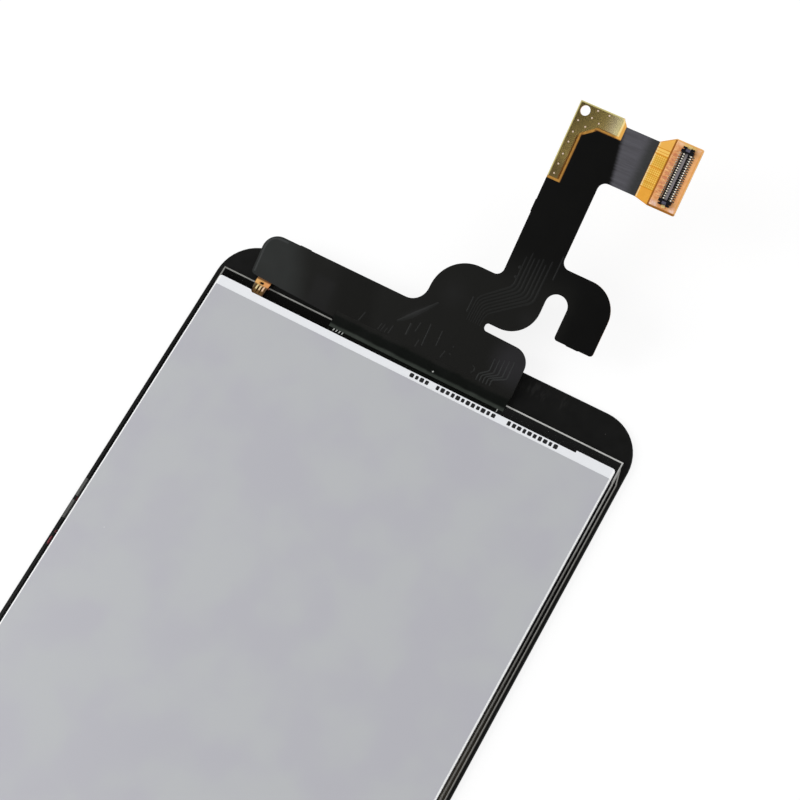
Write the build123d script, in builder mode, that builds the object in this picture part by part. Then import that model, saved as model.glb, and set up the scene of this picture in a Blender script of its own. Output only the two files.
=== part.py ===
from build123d import *
from math import cos, radians, sin, tan
import os

# A phone display assembly, in millimetres. It lies on its glass: the front of the glass is at Z 0,
# the rear of the display faces up, and +Y points to the end where the flexible circuit leaves.
# The origin is the centre of the front of the glass.

os.makedirs("parts", exist_ok=True)

# Cover glass
cover_width = 70.0
cover_length = 142.0
cover_thickness = 0.7
cover_corner_radius = 6.6
front_edge_radius = 0.4
rear_edge_break = 0.12

# Openings at the far end of the glass and of its print
earpiece_length = 11.0
earpiece_width = 1.3
earpiece_inset = 6.0
camera_window_radius = 1.8
camera_window_gap = 8.0
sensor_window_radius = 0.9
sensor_window_gap = 5.0

# Black print on the back of the glass
ink_thickness = 0.02
ink_edge_gap = 0.15

# Panel: two glasses, the array glass longer by the bare ledge
panel_side_inset = 1.1
panel_end_inset = 5.8
panel_far_inset = 14.6
ledge_length = 3.3
array_thickness = 0.2
filter_thickness = 0.2
view_side_margin = 1.3
view_far_margin = 1.3
view_ledge_margin = 1.7

# Adhesive between glass and panel, a little wider than the panel, with its two corners cut
adhesive_thickness = 0.17
adhesive_side_reach = 0.5
adhesive_end_inset = 0.9
adhesive_corner_width = 0.5
adhesive_corner_length = 2.2

# Polarisers
polarizer_thickness = 0.12
polarizer_inset = 0.3
rear_polarizer_reach = 1.0

# Driver chip and its resin on the ledge
chip_side_gap = 1.7
chip_width = 1.1
chip_thickness = 0.22
chip_filter_gap = 0.55
bond_film_thickness = 0.02
resin_thickness = 0.12
resin_gap = 0.05

# Backlight
tape_thickness = 0.05
tape_inset = 0.1
tape_view_gap = 0.1
optic_sheet_thickness = 0.06
guide_thickness = 0.35
reflector_thickness = 0.06
sheet_view_reach = 0.3
guide_sheet_reach = 0.1
sheet_wall_gap = 0.1
frame_side_wall = 0.45
frame_side_inset = 0.4
frame_far_inset = 0.2
frame_ledge_inset = 1.63
frame_recess_depth = 0.35
frame_recess_left_inset = 5.85
frame_recess_right_inset = 6.2
frame_light_wall = 1.82
frame_corner_radius = 0.4
lip_width = 0.18
strip_end_lip = 1.57

# Light strip: emitters in a row on a thin circuit, whose tail leaves over the ledge
emitter_pitch = 5.2
emitter_length = 3.0
emitter_depth = 0.85
emitter_gap = 0.05
emitter_window_length = 2.4
emitter_window_height = 0.2
emitter_window_depth = 0.1
strip_side_inset = 2.25
strip_width = 1.15
strip_thickness = 0.08
strip_sheet_gap = 0.03
tail_width = 2.05
tail_wing_inset = 2.7
tail_gap = 0.1
tail_rise_shift = 0.2
tail_rise_width = 2.5
tail_overlap = 2.0
tail_flat_length = 1.3
tail_ledge_clearance = 0.03
tail_bend_radius = 0.25
tail_slit_width = 0.14
tail_slit_length = 1.0
tail_slit_pitch = 0.54
tail_slit_count = 2
tail_hole_rise = 0.12
tail_hole_length = 0.62
tail_hole_width = 0.36

# Flexible circuit: thickness, bond to the ledge and the bend that lifts it
flex_thickness = 0.12
film_thickness = 0.04
bond_overlap = 1.25
bond_width = 29.8
bond_center_x = 0.2
bend_clearance = 0.1
bend_radius = 1.8
rise_angle = 23.0

# Resin along the ledge's edge, over the bend and onto the film
sealant_ledge_cover = 1.15
sealant_film_cover = 0.7
sealant_sag = 0.03
sealant_side_gap = 0.1

# Outline of the raised circuit, from the wing over the dome, the slot and the hooked tab to the arm
wing_side_inset = 4.2
wing_foot = 0.15
wing_top = 7.1
wing_corner = 2.7
wing_foot_corner = 0.6
dome_length = 9.2
dome_height = 8.65
dome_corner = 0.67 * dome_height
dome_root = 0.32 * dome_height
stem_left = 6.2
stem_width = 7.5
stem_root = 1.2
tab_top = 7.4
tab_corner = 2.5
slot_end_inset = 0.85
slot_tab_rise = 0.2
slot_width = 1.19
lobe_radius = 4.6
hook_gap = 3.44
hook_rise = 8.11
hook_bar = 3.7
hook_width = 6.15
hook_drop = 6.15
hook_shoulder = 4.5
hook_throat = 0.49 * hook_gap
hook_corner = 0.5
arm_bottom_inset = 0.45
arm_top_inset = 1.32
film_end_gap = 4.3
flare_end_gap = 2.2
plug_pad_reach = 1.94
plug_pad_bottom_margin = 0.82
plug_pad_top_margin = 0.57
plug_pad_corner = 0.25

# Cut stubs of the webs that held the circuit in its panel
stub_width = 1.9
stub_height = 0.08
wing_stub_inset = 6.6
stem_stub_rise = 6.4
hook_stub_inset = 3.2

# Gold pad for earthing, in a window of the black film; it reaches past the arm's top edge
pad_reach = 1.0
pad_corner_cut = 0.8
pad_rim = 0.38
pad_corner_radius = 0.45
pad_thickness = 0.035
pad_stiffener_thickness = 0.2
window_side_reach = 0.15
window_length = 11.9
window_leg_width = 2.15
window_arm_width = 2.1
window_knee_reach = 4.0
window_knee_drop = 1.45
locating_hole_radius = 0.75
locating_hole_inset = 1.15
via_radius = 0.12
via_height = 0.02
leg_via_inset = 0.8
leg_via_depths = (2.8, 4.55, 6.1, 7.95, 9.5, 10.95)
leg_via_end_gap = 0.9
corner_via_spots = ((2.15, 3.25), (2.5, 1.75), (3.75, 2.1), (2.9, 0.5), (4.7, 0.5))

# Connector on its stiffened pad
mask_thickness = 0.03
mask_left_gap = 0.15
mask_edge_gap = 0.12
mask_bottom_gap = 0.32
plug_stiffener_thickness = 0.25
connector_reach = 9.65
connector_rise = 18.1
contact_count = 20
contact_pitch = 0.35
contact_width = 0.16
contact_thickness = 0.06
contact_foot = 0.31
contact_end_gap = 0.095
housing_base = 0.14
housing_recess = 0.72
housing_wall = 0.38
housing_wall_height = 0.49
housing_wall_chamfer = 0.12
housing_end = 0.85
housing_end_width = 1.9
housing_end_height = 0.62
housing_neck = 0.15
housing_neck_width = 1.2
housing_ear = 0.25
housing_ear_inset = 0.12
nail_thickness = 0.07
nail_width = 0.6
nail_reach = 0.3
nail_notch = 0.3
nail_gap = 0.03

# Heights of the stack, from the front of the glass
glass_rear = cover_thickness
ink_rear = glass_rear + ink_thickness
adhesive_rear = glass_rear + adhesive_thickness
front_polarizer_rear = adhesive_rear + polarizer_thickness
filter_rear = front_polarizer_rear + filter_thickness
array_rear = filter_rear + array_thickness
rear_polarizer_rear = array_rear + polarizer_thickness
tape_rear = rear_polarizer_rear + tape_thickness
guide_front = tape_rear + 3 * optic_sheet_thickness
frame_rear = guide_front + guide_thickness

# Places across the stack, from the edges of the glass
panel_width = cover_width - 2 * panel_side_inset
array_end = cover_length / 2 - panel_end_inset
panel_far_end = panel_far_inset - cover_length / 2
filter_end = array_end - ledge_length
view_end = filter_end - view_ledge_margin
view_far_end = panel_far_end + view_far_margin
view_half_width = panel_width / 2 - view_side_margin
frame_width = panel_width - 2 * frame_side_inset
frame_end = array_end - frame_ledge_inset
frame_recess_end = frame_end - frame_recess_depth
frame_far_end = panel_far_end + frame_far_inset
cavity_end = frame_end - frame_light_wall
cavity_far_end = frame_far_end + frame_side_wall
cavity_half_width = frame_width / 2 - frame_side_wall
sheet_half_width = cavity_half_width - sheet_wall_gap
sheet_far_end = cavity_far_end + sheet_wall_gap
sheet_end = view_end + sheet_view_reach
guide_end = sheet_end + guide_sheet_reach
strip_start = sheet_end + strip_sheet_gap
strip_length = frame_width - 2 * strip_side_inset
emitter_count = int(strip_length / emitter_pitch)
chip_start = filter_end + chip_filter_gap
bond_start = array_end - bond_overlap
bond_left = bond_center_x - bond_width / 2
bond_right = bond_center_x + bond_width / 2

# Sides of the raised circuit's outline
wing_left = wing_side_inset - panel_width / 2
dome_left = stem_left - dome_length
stem_right = stem_left + stem_width
slot_end = stem_left + slot_end_inset
hook_inner = stem_right + hook_gap
hook_right = hook_inner + hook_width
window_right = stem_right + window_side_reach
connector_x = stem_right + connector_reach
film_end = connector_x - film_end_gap
flare_end = connector_x - flare_end_gap
plug_pad_right = connector_x + plug_pad_reach

# Distances of the outline's corners along the raised circuit, from the end of the bend
dome_top = wing_top + dome_height
slot_bottom = tab_top + slot_tab_rise
slot_top = slot_bottom + slot_width
hook_under = slot_top + hook_rise
hook_bottom = hook_under - hook_drop
hook_top = hook_under + hook_bar
connector_height = hook_top + connector_rise
connector_slot = (contact_count - 1) * contact_pitch + contact_width + 2 * contact_end_gap
wall_inner = housing_recess / 2
wall_outer = wall_inner + housing_wall
housing_length = connector_slot + 2 * housing_end
plug_pad_bottom = connector_height - housing_length / 2 - plug_pad_bottom_margin
plug_pad_top = connector_height + housing_length / 2 + plug_pad_top_margin
arm_bottom = plug_pad_bottom + arm_bottom_inset
arm_top = plug_pad_top - arm_top_inset
pad_top = arm_top + pad_reach
window_bottom = pad_top - window_length
window_arm_bottom = arm_top - window_arm_width
window_knee_height = window_arm_bottom - window_knee_drop
window_leg_right = stem_left + window_leg_width
window_knee_x = stem_left + window_knee_reach
locating_hole_x = stem_left + locating_hole_inset
locating_hole_height = pad_top - locating_hole_inset

# The raised circuit lies on a plane through the end of the bend; its rear side is the plane itself
flex_bond_top = filter_rear - bond_film_thickness
bend_start = array_end + bend_clearance
rise = radians(rise_angle)
bend_end = bend_start + bend_radius * sin(rise)
bend_top = flex_bond_top + bend_radius * (1 - cos(rise))
flex_plane = Plane(origin=(0, bend_end, bend_top), x_dir=(1, 0, 0), z_dir=(0, -sin(rise), cos(rise)))


def rectangle_between(left, right, bottom, top, mode=Mode.ADD):
    """A rectangle given by its four sides, in the sketch being drawn."""
    with Locations(((left + right) / 2, (bottom + top) / 2)):
        Rectangle(right - left, top - bottom, mode=mode)


# Cover glass
with BuildPart() as cover_glass:
    with BuildSketch():
        RectangleRounded(cover_width, cover_length, cover_corner_radius)
    extrude(amount=cover_thickness)
    fillet(cover_glass.faces().sort_by(Axis.Z)[0].edges(), front_edge_radius)
    chamfer(cover_glass.faces().sort_by(Axis.Z)[-1].edges(), rear_edge_break)
    with BuildSketch():
        with Locations((0, earpiece_inset - cover_length / 2)):
            SlotOverall(earpiece_length, earpiece_width)
    extrude(amount=cover_thickness, mode=Mode.SUBTRACT)

# Black print, open over the picture, the earpiece, the camera and a sensor
camera_window_x = earpiece_length / 2 + camera_window_gap
sensor_window_x = camera_window_x + sensor_window_gap
with BuildPart() as border_print:
    with BuildSketch(Plane.XY.offset(glass_rear)):
        RectangleRounded(
            cover_width - 2 * (rear_edge_break + ink_edge_gap),
            cover_length - 2 * (rear_edge_break + ink_edge_gap),
            cover_corner_radius - rear_edge_break - ink_edge_gap,
        )
        with Locations((0, (view_end + view_far_end) / 2)):
            Rectangle(2 * view_half_width, view_end - view_far_end, mode=Mode.SUBTRACT)
        with Locations((0, earpiece_inset - cover_length / 2)):
            SlotOverall(earpiece_length, earpiece_width, mode=Mode.SUBTRACT)
        with Locations((-camera_window_x, earpiece_inset - cover_length / 2)):
            Circle(camera_window_radius, mode=Mode.SUBTRACT)
        with Locations((-sensor_window_x, earpiece_inset - cover_length / 2)):
            Circle(sensor_window_radius, mode=Mode.SUBTRACT)
    extrude(amount=ink_thickness)

# Optical adhesive: on the print, and down to the glass inside its window
adhesive_side = panel_width / 2 + adhesive_side_reach
adhesive_end = array_end - adhesive_end_inset
with BuildPart() as optical_adhesive:
    with BuildSketch(Plane.XY.offset(ink_rear)):
        with BuildLine():
            Polyline(
                (-adhesive_side, panel_far_end),
                (adhesive_side, panel_far_end),
                (adhesive_side, adhesive_end - adhesive_corner_length),
                (adhesive_side - adhesive_corner_width, adhesive_end),
                (adhesive_corner_width - adhesive_side, adhesive_end),
                (-adhesive_side, adhesive_end - adhesive_corner_length),
                close=True,
            )
        make_face()
    extrude(amount=adhesive_rear - ink_rear)
    with BuildSketch(Plane.XY.offset(glass_rear)):
        rectangle_between(-view_half_width, view_half_width, view_far_end, view_end)
    extrude(amount=ink_thickness)

# Panel: front polariser, colour filter glass, array glass with its ledge, rear polariser
polarizer_side = panel_width / 2 - polarizer_inset
polarizer_far_end = panel_far_end + polarizer_inset
with BuildPart() as front_polarizer:
    with BuildSketch(Plane.XY.offset(adhesive_rear)):
        rectangle_between(-polarizer_side, polarizer_side, polarizer_far_end, filter_end - polarizer_inset)
    extrude(amount=polarizer_thickness)

with BuildPart() as filter_glass:
    with BuildSketch(Plane.XY.offset(front_polarizer_rear)):
        rectangle_between(-panel_width / 2, panel_width / 2, panel_far_end, filter_end)
    extrude(amount=filter_thickness)

with BuildPart() as array_glass:
    with BuildSketch(Plane.XY.offset(filter_rear)):
        rectangle_between(-panel_width / 2, panel_width / 2, panel_far_end, array_end)
    extrude(amount=array_thickness)

rear_polarizer_end = filter_end + rear_polarizer_reach
with BuildPart() as rear_polarizer:
    with BuildSketch(Plane.XY.offset(array_rear)):
        rectangle_between(-polarizer_side, polarizer_side, polarizer_far_end, rear_polarizer_end)
    extrude(amount=polarizer_thickness)

# Driver chip under the ledge, on its bond film, with resin round it
chip_middle = chip_start + chip_width / 2
chip_length = bond_width - 2 * chip_side_gap
with BuildPart() as chip_bond_film:
    with BuildSketch(Plane.XY.offset(filter_rear - bond_film_thickness)):
        with Locations((bond_center_x, chip_middle)):
            Rectangle(chip_length, chip_width)
    extrude(amount=bond_film_thickness)

with BuildPart() as driver_chip:
    with BuildSketch(Plane.XY.offset(filter_rear - bond_film_thickness - chip_thickness)):
        with Locations((bond_center_x, chip_middle)):
            Rectangle(chip_length, chip_width)
    extrude(amount=chip_thickness)

with BuildPart() as ledge_resin:
    with BuildSketch(Plane.XY.offset(filter_rear - resin_thickness)):
        rectangle_between(bond_left, bond_right, filter_end + resin_gap, bond_start - resin_gap)
        with Locations((bond_center_x, chip_middle)):
            Rectangle(chip_length + 2 * resin_gap, chip_width + 2 * resin_gap, mode=Mode.SUBTRACT)
    extrude(amount=resin_thickness)

# Rim tape between the panel and the backlight
with BuildPart() as rim_tape:
    with BuildSketch(Plane.XY.offset(rear_polarizer_rear)):
        rectangle_between(
            tape_inset - polarizer_side,
            polarizer_side - tape_inset,
            polarizer_far_end + tape_inset,
            rear_polarizer_end - tape_inset,
        )
        with Locations((0, (view_end + view_far_end) / 2)):
            Rectangle(
                2 * (view_half_width + tape_view_gap),
                view_end - view_far_end + 2 * tape_view_gap,
                mode=Mode.SUBTRACT,
            )
    extrude(amount=tape_thickness)

# Moulded white frame: an open ring with a recess over the ledge and a channel for the tail
tail_x = wing_left + tail_wing_inset
tail_left = tail_x - tail_width / 2
tail_right = tail_x + tail_width / 2
strip_front = guide_front - strip_thickness
recess_left = frame_recess_left_inset - frame_width / 2
recess_right = frame_width / 2 - frame_recess_right_inset
with BuildPart() as backlight_frame:
    with BuildSketch(Plane.XY.offset(tape_rear)):
        rectangle_between(-frame_width / 2, frame_width / 2, frame_far_end, frame_end)
    extrude(amount=frame_rear - tape_rear)
    fillet(backlight_frame.edges().filter_by(Axis.Z), frame_corner_radius)
    with BuildSketch(Plane.XY.offset(tape_rear)):
        rectangle_between(-cavity_half_width, cavity_half_width, cavity_far_end, cavity_end)
        with BuildLine():
            Polyline(
                (recess_left, frame_recess_end),
                (recess_right, frame_recess_end),
                (recess_right, frame_end),
                (recess_left - frame_recess_depth, frame_end),
                close=True,
            )
        make_face()
    extrude(amount=frame_rear - tape_rear, mode=Mode.SUBTRACT)
    with BuildSketch(Plane.XY.offset(tape_rear)):
        rectangle_between(tail_left - tail_gap, tail_right + tail_gap, cavity_end, frame_end)
    extrude(amount=guide_front + tail_gap / 2 - tape_rear, mode=Mode.SUBTRACT)

# Light sheets and the light guide, in the frame's opening
sheet_names = ("upper_prism_sheet", "lower_prism_sheet", "diffuser_sheet")
optic_sheets = []
for level, sheet_name in enumerate(sheet_names):
    with BuildPart() as optic_sheet:
        with BuildSketch(Plane.XY.offset(tape_rear + level * optic_sheet_thickness)):
            rectangle_between(-sheet_half_width, sheet_half_width, sheet_far_end, sheet_end)
        extrude(amount=optic_sheet_thickness)
    optic_sheets.append((sheet_name, optic_sheet))

with BuildPart() as light_guide:
    with BuildSketch(Plane.XY.offset(guide_front)):
        rectangle_between(-sheet_half_width, sheet_half_width, sheet_far_end, guide_end)
    extrude(amount=guide_thickness)

with BuildPart() as reflector_sheet:
    with BuildSketch(Plane.XY.offset(frame_rear)):
        rectangle_between(
            lip_width - frame_width / 2,
            frame_width / 2 - lip_width,
            frame_far_end + lip_width,
            frame_end - strip_end_lip,
        )
    extrude(amount=reflector_thickness)

# Emitters in front of the light guide's edge, each with a shallow light window
emitter_start = guide_end + emitter_gap
with BuildPart() as light_emitters:
    with BuildSketch(Plane.XY.offset(guide_front)):
        with Locations((0, emitter_start + emitter_depth / 2)):
            with GridLocations(emitter_pitch, 0, emitter_count, 1):
                Rectangle(emitter_length, emitter_depth)
    extrude(amount=guide_thickness)
    with BuildSketch(Plane.XZ.offset(-emitter_start)):
        with Locations((0, guide_front + guide_thickness / 2)):
            with GridLocations(emitter_pitch, 0, emitter_count, 1):
                Rectangle(emitter_window_length, emitter_window_height)
    extrude(amount=-emitter_window_depth, mode=Mode.SUBTRACT)

# Light strip and its tail: flat to past the frame, down over the ledge's edge, up against the wing.
# Its side view is cut to its outline from above.
tail_bend = frame_recess_end + tail_flat_length
over_edge = array_rear + tail_ledge_clearance + strip_thickness
dip_slope = (over_edge - guide_front) / (array_end - tail_bend)
wing_under = bend_top - flex_thickness / cos(rise) - tan(rise) * bend_end
tail_low = (guide_front - dip_slope * tail_bend - wing_under) / (tan(rise) - dip_slope)
tail_tip = bend_end + tail_overlap * cos(rise)
tail_rise_x = tail_x - tail_rise_shift
tail_rise_left = tail_rise_x - tail_rise_width / 2
tail_rise_right = tail_rise_x + tail_rise_width / 2
with BuildPart() as light_strip:
    with BuildSketch(Plane.YZ.offset(tail_rise_left)):
        with BuildLine():
            FilletPolyline(
                (strip_start, guide_front),
                (tail_bend, guide_front),
                (tail_low, wing_under + tan(rise) * tail_low),
                (tail_tip, wing_under + tan(rise) * tail_tip),
                radius=tail_bend_radius,
            )
            offset(amount=strip_thickness, side=Side.RIGHT)
        make_face()
    extrude(amount=tail_right - tail_rise_left)
    with BuildSketch(Plane.XY.offset(glass_rear)):
        with BuildLine():
            Polyline(
                (tail_left, strip_start),
                (tail_right, strip_start),
                (tail_right, frame_end),
                (tail_rise_right, bend_end),
                (tail_rise_right, tail_tip),
                (tail_rise_left, tail_tip),
                (tail_rise_left, bend_end),
                (tail_left, frame_end),
                close=True,
            )
        make_face()
        with Locations((tail_x, frame_end + tail_slit_length / 2)):
            with GridLocations(tail_slit_pitch, 0, tail_slit_count, 1):
                SlotOverall(tail_slit_length, tail_slit_width, rotation=90, mode=Mode.SUBTRACT)
        with Locations((tail_rise_x, array_end + tail_hole_rise)):
            SlotOverall(tail_hole_length, tail_hole_width, mode=Mode.SUBTRACT)
    extrude(amount=frame_rear, mode=Mode.INTERSECT)
    with BuildSketch(Plane.XY.offset(strip_front)):
        rectangle_between(-strip_length / 2, strip_length / 2, strip_start, strip_start + strip_width)
    extrude(amount=strip_thickness)

# Outline of the raised circuit, corner by corner: X, distance from the bend, corner radius
slot_corner = 0.45 * slot_width
flex_corners = (
    (bond_right, 0, 0),
    (bond_right, tab_top, tab_corner),
    (slot_end, slot_bottom, slot_corner),
    (slot_end, slot_top, slot_corner),
    (stem_right, slot_top, lobe_radius),
    (stem_right, hook_under, hook_throat),
    (hook_inner, hook_under, hook_throat),
    (hook_inner, hook_bottom, hook_corner),
    (hook_right, hook_bottom, hook_corner),
    (hook_right, hook_top, hook_shoulder),
    (stem_right, hook_top, stem_root),
    (stem_right, arm_bottom, stem_root),
    (film_end, arm_bottom, 0),
    (flare_end, plug_pad_bottom, 0),
    (plug_pad_right, plug_pad_bottom, plug_pad_corner),
    (plug_pad_right, plug_pad_top, plug_pad_corner),
    (flare_end, plug_pad_top, 0),
    (film_end, arm_top, 0),
    (window_right, arm_top, 0),
    (window_right - pad_corner_cut, pad_top, pad_rim),
    (stem_left, pad_top, 0),
    (stem_left, dome_top, stem_root),
    (dome_left, dome_top, dome_corner),
    (dome_left, wing_top, dome_root),
    (wing_left, wing_top, wing_corner),
    (wing_left, wing_foot, wing_foot_corner),
    (bond_left, wing_foot, 0),
    (bond_left, 0, 0),
)
with BuildSketch() as flex_outline:
    with BuildLine():
        FilletPolyline(
            *[(x, height) for x, height, radius in flex_corners],
            radius=[radius for x, height, radius in flex_corners],
            close=True,
        )
    make_face()
    with Locations((wing_left + wing_stub_inset, wing_top), (hook_right - hook_stub_inset, hook_bottom)):
        Rectangle(stub_width, 2 * stub_height)
    with Locations((stem_left, hook_top + stem_stub_rise)):
        Rectangle(2 * stub_height, stub_width)
    with Locations((locating_hole_x, locating_hole_height)):
        Circle(locating_hole_radius, mode=Mode.SUBTRACT)

# The window of the black film over the gold pad, and the pad inside it
window_corners = (
    (stem_left, window_bottom),
    (window_leg_right, window_bottom),
    (window_leg_right, window_knee_height),
    (window_knee_x, window_arm_bottom),
    (window_right, window_arm_bottom),
    (window_right, arm_top),
    (window_right - pad_corner_cut, pad_top),
    (stem_left, pad_top),
)
with BuildSketch() as pad_window:
    with BuildLine():
        Polyline(*window_corners, close=True)
    make_face()

# The circuit itself: bond tab and bend in one profile, then the raised outline
with BuildPart() as main_flex:
    with BuildSketch(Plane.YZ.offset(bond_left)):
        with BuildLine():
            bond_line = Line((bond_start, flex_bond_top), (bend_start, flex_bond_top))
            JernArc(bond_line @ 1, bond_line % 1, bend_radius, rise_angle)
            offset(amount=flex_thickness, side=Side.RIGHT)
        make_face()
    extrude(amount=bond_width)
    with BuildSketch(flex_plane):
        add(flex_outline.sketch)
    extrude(amount=-flex_thickness)

with BuildPart() as flex_bond_film:
    with BuildSketch(Plane.XY.offset(flex_bond_top)):
        rectangle_between(bond_left, bond_right, bond_start, array_end)
    extrude(amount=bond_film_thickness)

# Black film on the rear side, over the bend and the run, open at the gold pad
with BuildPart() as flex_rear_film:
    with BuildSketch(Plane.YZ.offset(bond_left)):
        with BuildLine():
            JernArc((bend_start, flex_bond_top), (1, 0), bend_radius, rise_angle)
            offset(amount=film_thickness, side=Side.LEFT)
        make_face()
    extrude(amount=bond_width)
    with BuildSketch(flex_plane):
        add(flex_outline.sketch)
        add(pad_window.sketch, mode=Mode.SUBTRACT)
        rectangle_between(film_end, plug_pad_right, plug_pad_bottom, plug_pad_top, mode=Mode.SUBTRACT)
    extrude(amount=film_thickness)

# Black film on the front side, open at the stiffeners and where the tail is soldered on
with BuildPart() as flex_front_film:
    with BuildSketch(Plane.YZ.offset(bond_left)):
        with BuildLine():
            JernArc(
                (bend_start, flex_bond_top - flex_thickness),
                (1, 0),
                bend_radius + flex_thickness,
                rise_angle,
            )
            offset(amount=film_thickness, side=Side.RIGHT)
        make_face()
    extrude(amount=bond_width)
    with BuildSketch(flex_plane.offset(-flex_thickness)):
        add(flex_outline.sketch)
        add(pad_window.sketch, mode=Mode.SUBTRACT)
        rectangle_between(film_end, plug_pad_right, plug_pad_bottom, plug_pad_top, mode=Mode.SUBTRACT)
        rectangle_between(
            tail_rise_left - tail_gap,
            tail_rise_right + tail_gap,
            0,
            tail_overlap + tail_gap,
            mode=Mode.SUBTRACT,
        )
    extrude(amount=-film_thickness)

# Resin bead from the ledge over its edge and onto the rear film, hollow by a little, cut to what it lies on
film_landing = bend_end + sealant_film_cover * cos(rise) - film_thickness * sin(rise)
film_landing_top = bend_top + sealant_film_cover * sin(rise) + film_thickness * cos(rise)
sealant_start = array_end - sealant_ledge_cover
sealant_middle = (sealant_start + film_landing) / 2
sealant_middle_top = (array_rear + film_landing_top) / 2 - sealant_sag
with BuildPart() as edge_sealant:
    with BuildSketch(Plane.YZ.offset(bond_left + sealant_side_gap)):
        with BuildLine():
            ThreePointArc(
                (sealant_start, array_rear),
                (sealant_middle, sealant_middle_top),
                (film_landing, film_landing_top),
            )
            Polyline(
                (film_landing, film_landing_top),
                (film_landing, film_landing_top - flex_thickness),
                (bend_start, flex_bond_top - film_thickness),
                (array_end - film_thickness, flex_bond_top - film_thickness),
                (array_end - film_thickness, filter_rear + film_thickness),
                (sealant_start, filter_rear + film_thickness),
                (sealant_start, array_rear),
            )
        make_face()
    extrude(amount=bond_width - 2 * sealant_side_gap)
    for neighbour in (array_glass, flex_bond_film, main_flex, flex_rear_film):
        add(neighbour.part, mode=Mode.SUBTRACT)

# Gold pad, flush with the circuit's outer edges and set back from the film by a rim
with BuildSketch() as pad_outline:
    with BuildLine():
        FilletPolyline(
            (stem_left, window_bottom + pad_rim),
            (window_leg_right - pad_rim, window_bottom + pad_rim),
            (window_leg_right - pad_rim, window_knee_height + pad_rim / 2),
            (window_knee_x - pad_rim / 2, window_arm_bottom + pad_rim),
            (window_right - 2 * pad_rim, window_arm_bottom + pad_rim),
            (window_right - 2 * pad_rim, pad_top),
            (stem_left, pad_top),
            radius=(0, 0, 0, 0, 0, pad_corner_radius, 0),
            close=True,
        )
    make_face()
    with Locations((locating_hole_x, locating_hole_height)):
        Circle(locating_hole_radius, mode=Mode.SUBTRACT)

with BuildPart() as ground_pad:
    with BuildSketch(flex_plane):
        add(pad_outline.sketch)
    extrude(amount=pad_thickness)

# Plated holes down the pad's leg, as many as it has room for, and round its corner
via_spots = [(leg_via_inset, depth) for depth in leg_via_depths if depth < window_length - leg_via_end_gap]
via_spots.extend(corner_via_spots)
with BuildPart() as ground_vias:
    with BuildSketch(flex_plane.offset(pad_thickness)):
        with Locations(*[(stem_left + inset, pad_top - depth) for inset, depth in via_spots]):
            Circle(via_radius)
    extrude(amount=via_height)

with BuildPart() as pad_stiffener:
    with BuildSketch(flex_plane.offset(-flex_thickness)):
        add(pad_window.sketch)
        with Locations((locating_hole_x, locating_hole_height)):
            Circle(locating_hole_radius, mode=Mode.SUBTRACT)
    extrude(amount=-pad_stiffener_thickness)

# Connector end: solder mask round the connector and a stiffener behind it
with BuildPart() as plug_mask:
    with BuildSketch(flex_plane):
        rectangle_between(
            flare_end + mask_left_gap,
            plug_pad_right - mask_edge_gap,
            plug_pad_bottom + mask_bottom_gap,
            plug_pad_top - mask_edge_gap,
        )
    extrude(amount=mask_thickness)

with BuildPart() as plug_stiffener:
    with BuildSketch(flex_plane.offset(-flex_thickness)) as stiffener_outline:
        rectangle_between(flare_end, plug_pad_right, plug_pad_bottom, plug_pad_top)
        fillet(stiffener_outline.vertices().group_by(Axis.X)[-1], plug_pad_corner)
    extrude(amount=-plug_stiffener_thickness)

# Connector housing: a floor, two walls with bevelled tops, and higher ends with a neck and two ears each
connector_plane = Plane(
    origin=flex_plane.from_local_coords((connector_x, connector_height, mask_thickness)),
    x_dir=flex_plane.x_dir,
    z_dir=flex_plane.z_dir,
)
contact_section = Plane(
    origin=connector_plane.origin, x_dir=connector_plane.x_dir, z_dir=-connector_plane.y_dir
)
end_middle = (housing_length - housing_end) / 2
end_root = end_middle - (housing_neck + housing_ear) / 2
ear_middle = (housing_length - housing_ear) / 2
with BuildPart() as connector_housing:
    with BuildSketch(contact_section) as wall_section:
        rectangle_between(-wall_outer, wall_outer, 0, housing_wall_height)
        rectangle_between(-wall_inner, wall_inner, housing_base, housing_wall_height, mode=Mode.SUBTRACT)
        chamfer(wall_section.vertices().group_by(Axis.Y)[-1], housing_wall_chamfer)
    extrude(amount=end_middle, both=True)
    with BuildSketch(connector_plane):
        with Locations((0, -end_middle), (0, end_middle)):
            Rectangle(housing_neck_width, housing_end)
        with Locations((0, -end_root), (0, end_root)):
            Rectangle(housing_end_width, housing_end - housing_neck - housing_ear)
        with Locations((0, -ear_middle), (0, ear_middle)):
            Rectangle(housing_end_width - 2 * housing_ear_inset, housing_ear)
    extrude(amount=housing_end_height)
    with BuildSketch(connector_plane):
        with Locations((0, -housing_length / 2), (0, housing_length / 2)):
            Rectangle(nail_width + 2 * nail_gap, 2 * nail_notch)
    extrude(amount=housing_end_height, mode=Mode.SUBTRACT)

# Contacts: one ribbon each, from its foot up over the wall and down to the floor
first_contact = -(contact_count - 1) / 2
contact_planes = [
    contact_section.offset((first_contact + index) * contact_pitch) for index in range(contact_count)
]
bevel_start = housing_wall_height - housing_wall_chamfer
with BuildPart() as connector_contacts:
    with BuildSketch(*contact_planes):
        with BuildLine():
            Polyline(
                (wall_outer + contact_foot, 0),
                (wall_outer, 0),
                (wall_outer, bevel_start),
                (wall_outer - housing_wall_chamfer, housing_wall_height),
                (wall_inner + housing_wall_chamfer, housing_wall_height),
                (wall_inner, bevel_start),
                (wall_inner, housing_base),
            )
            offset(amount=contact_thickness, side=Side.RIGHT, kind=Kind.INTERSECTION)
        make_face()
        mirror(about=Plane.YZ)
    extrude(amount=contact_width / 2, both=True)

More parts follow.
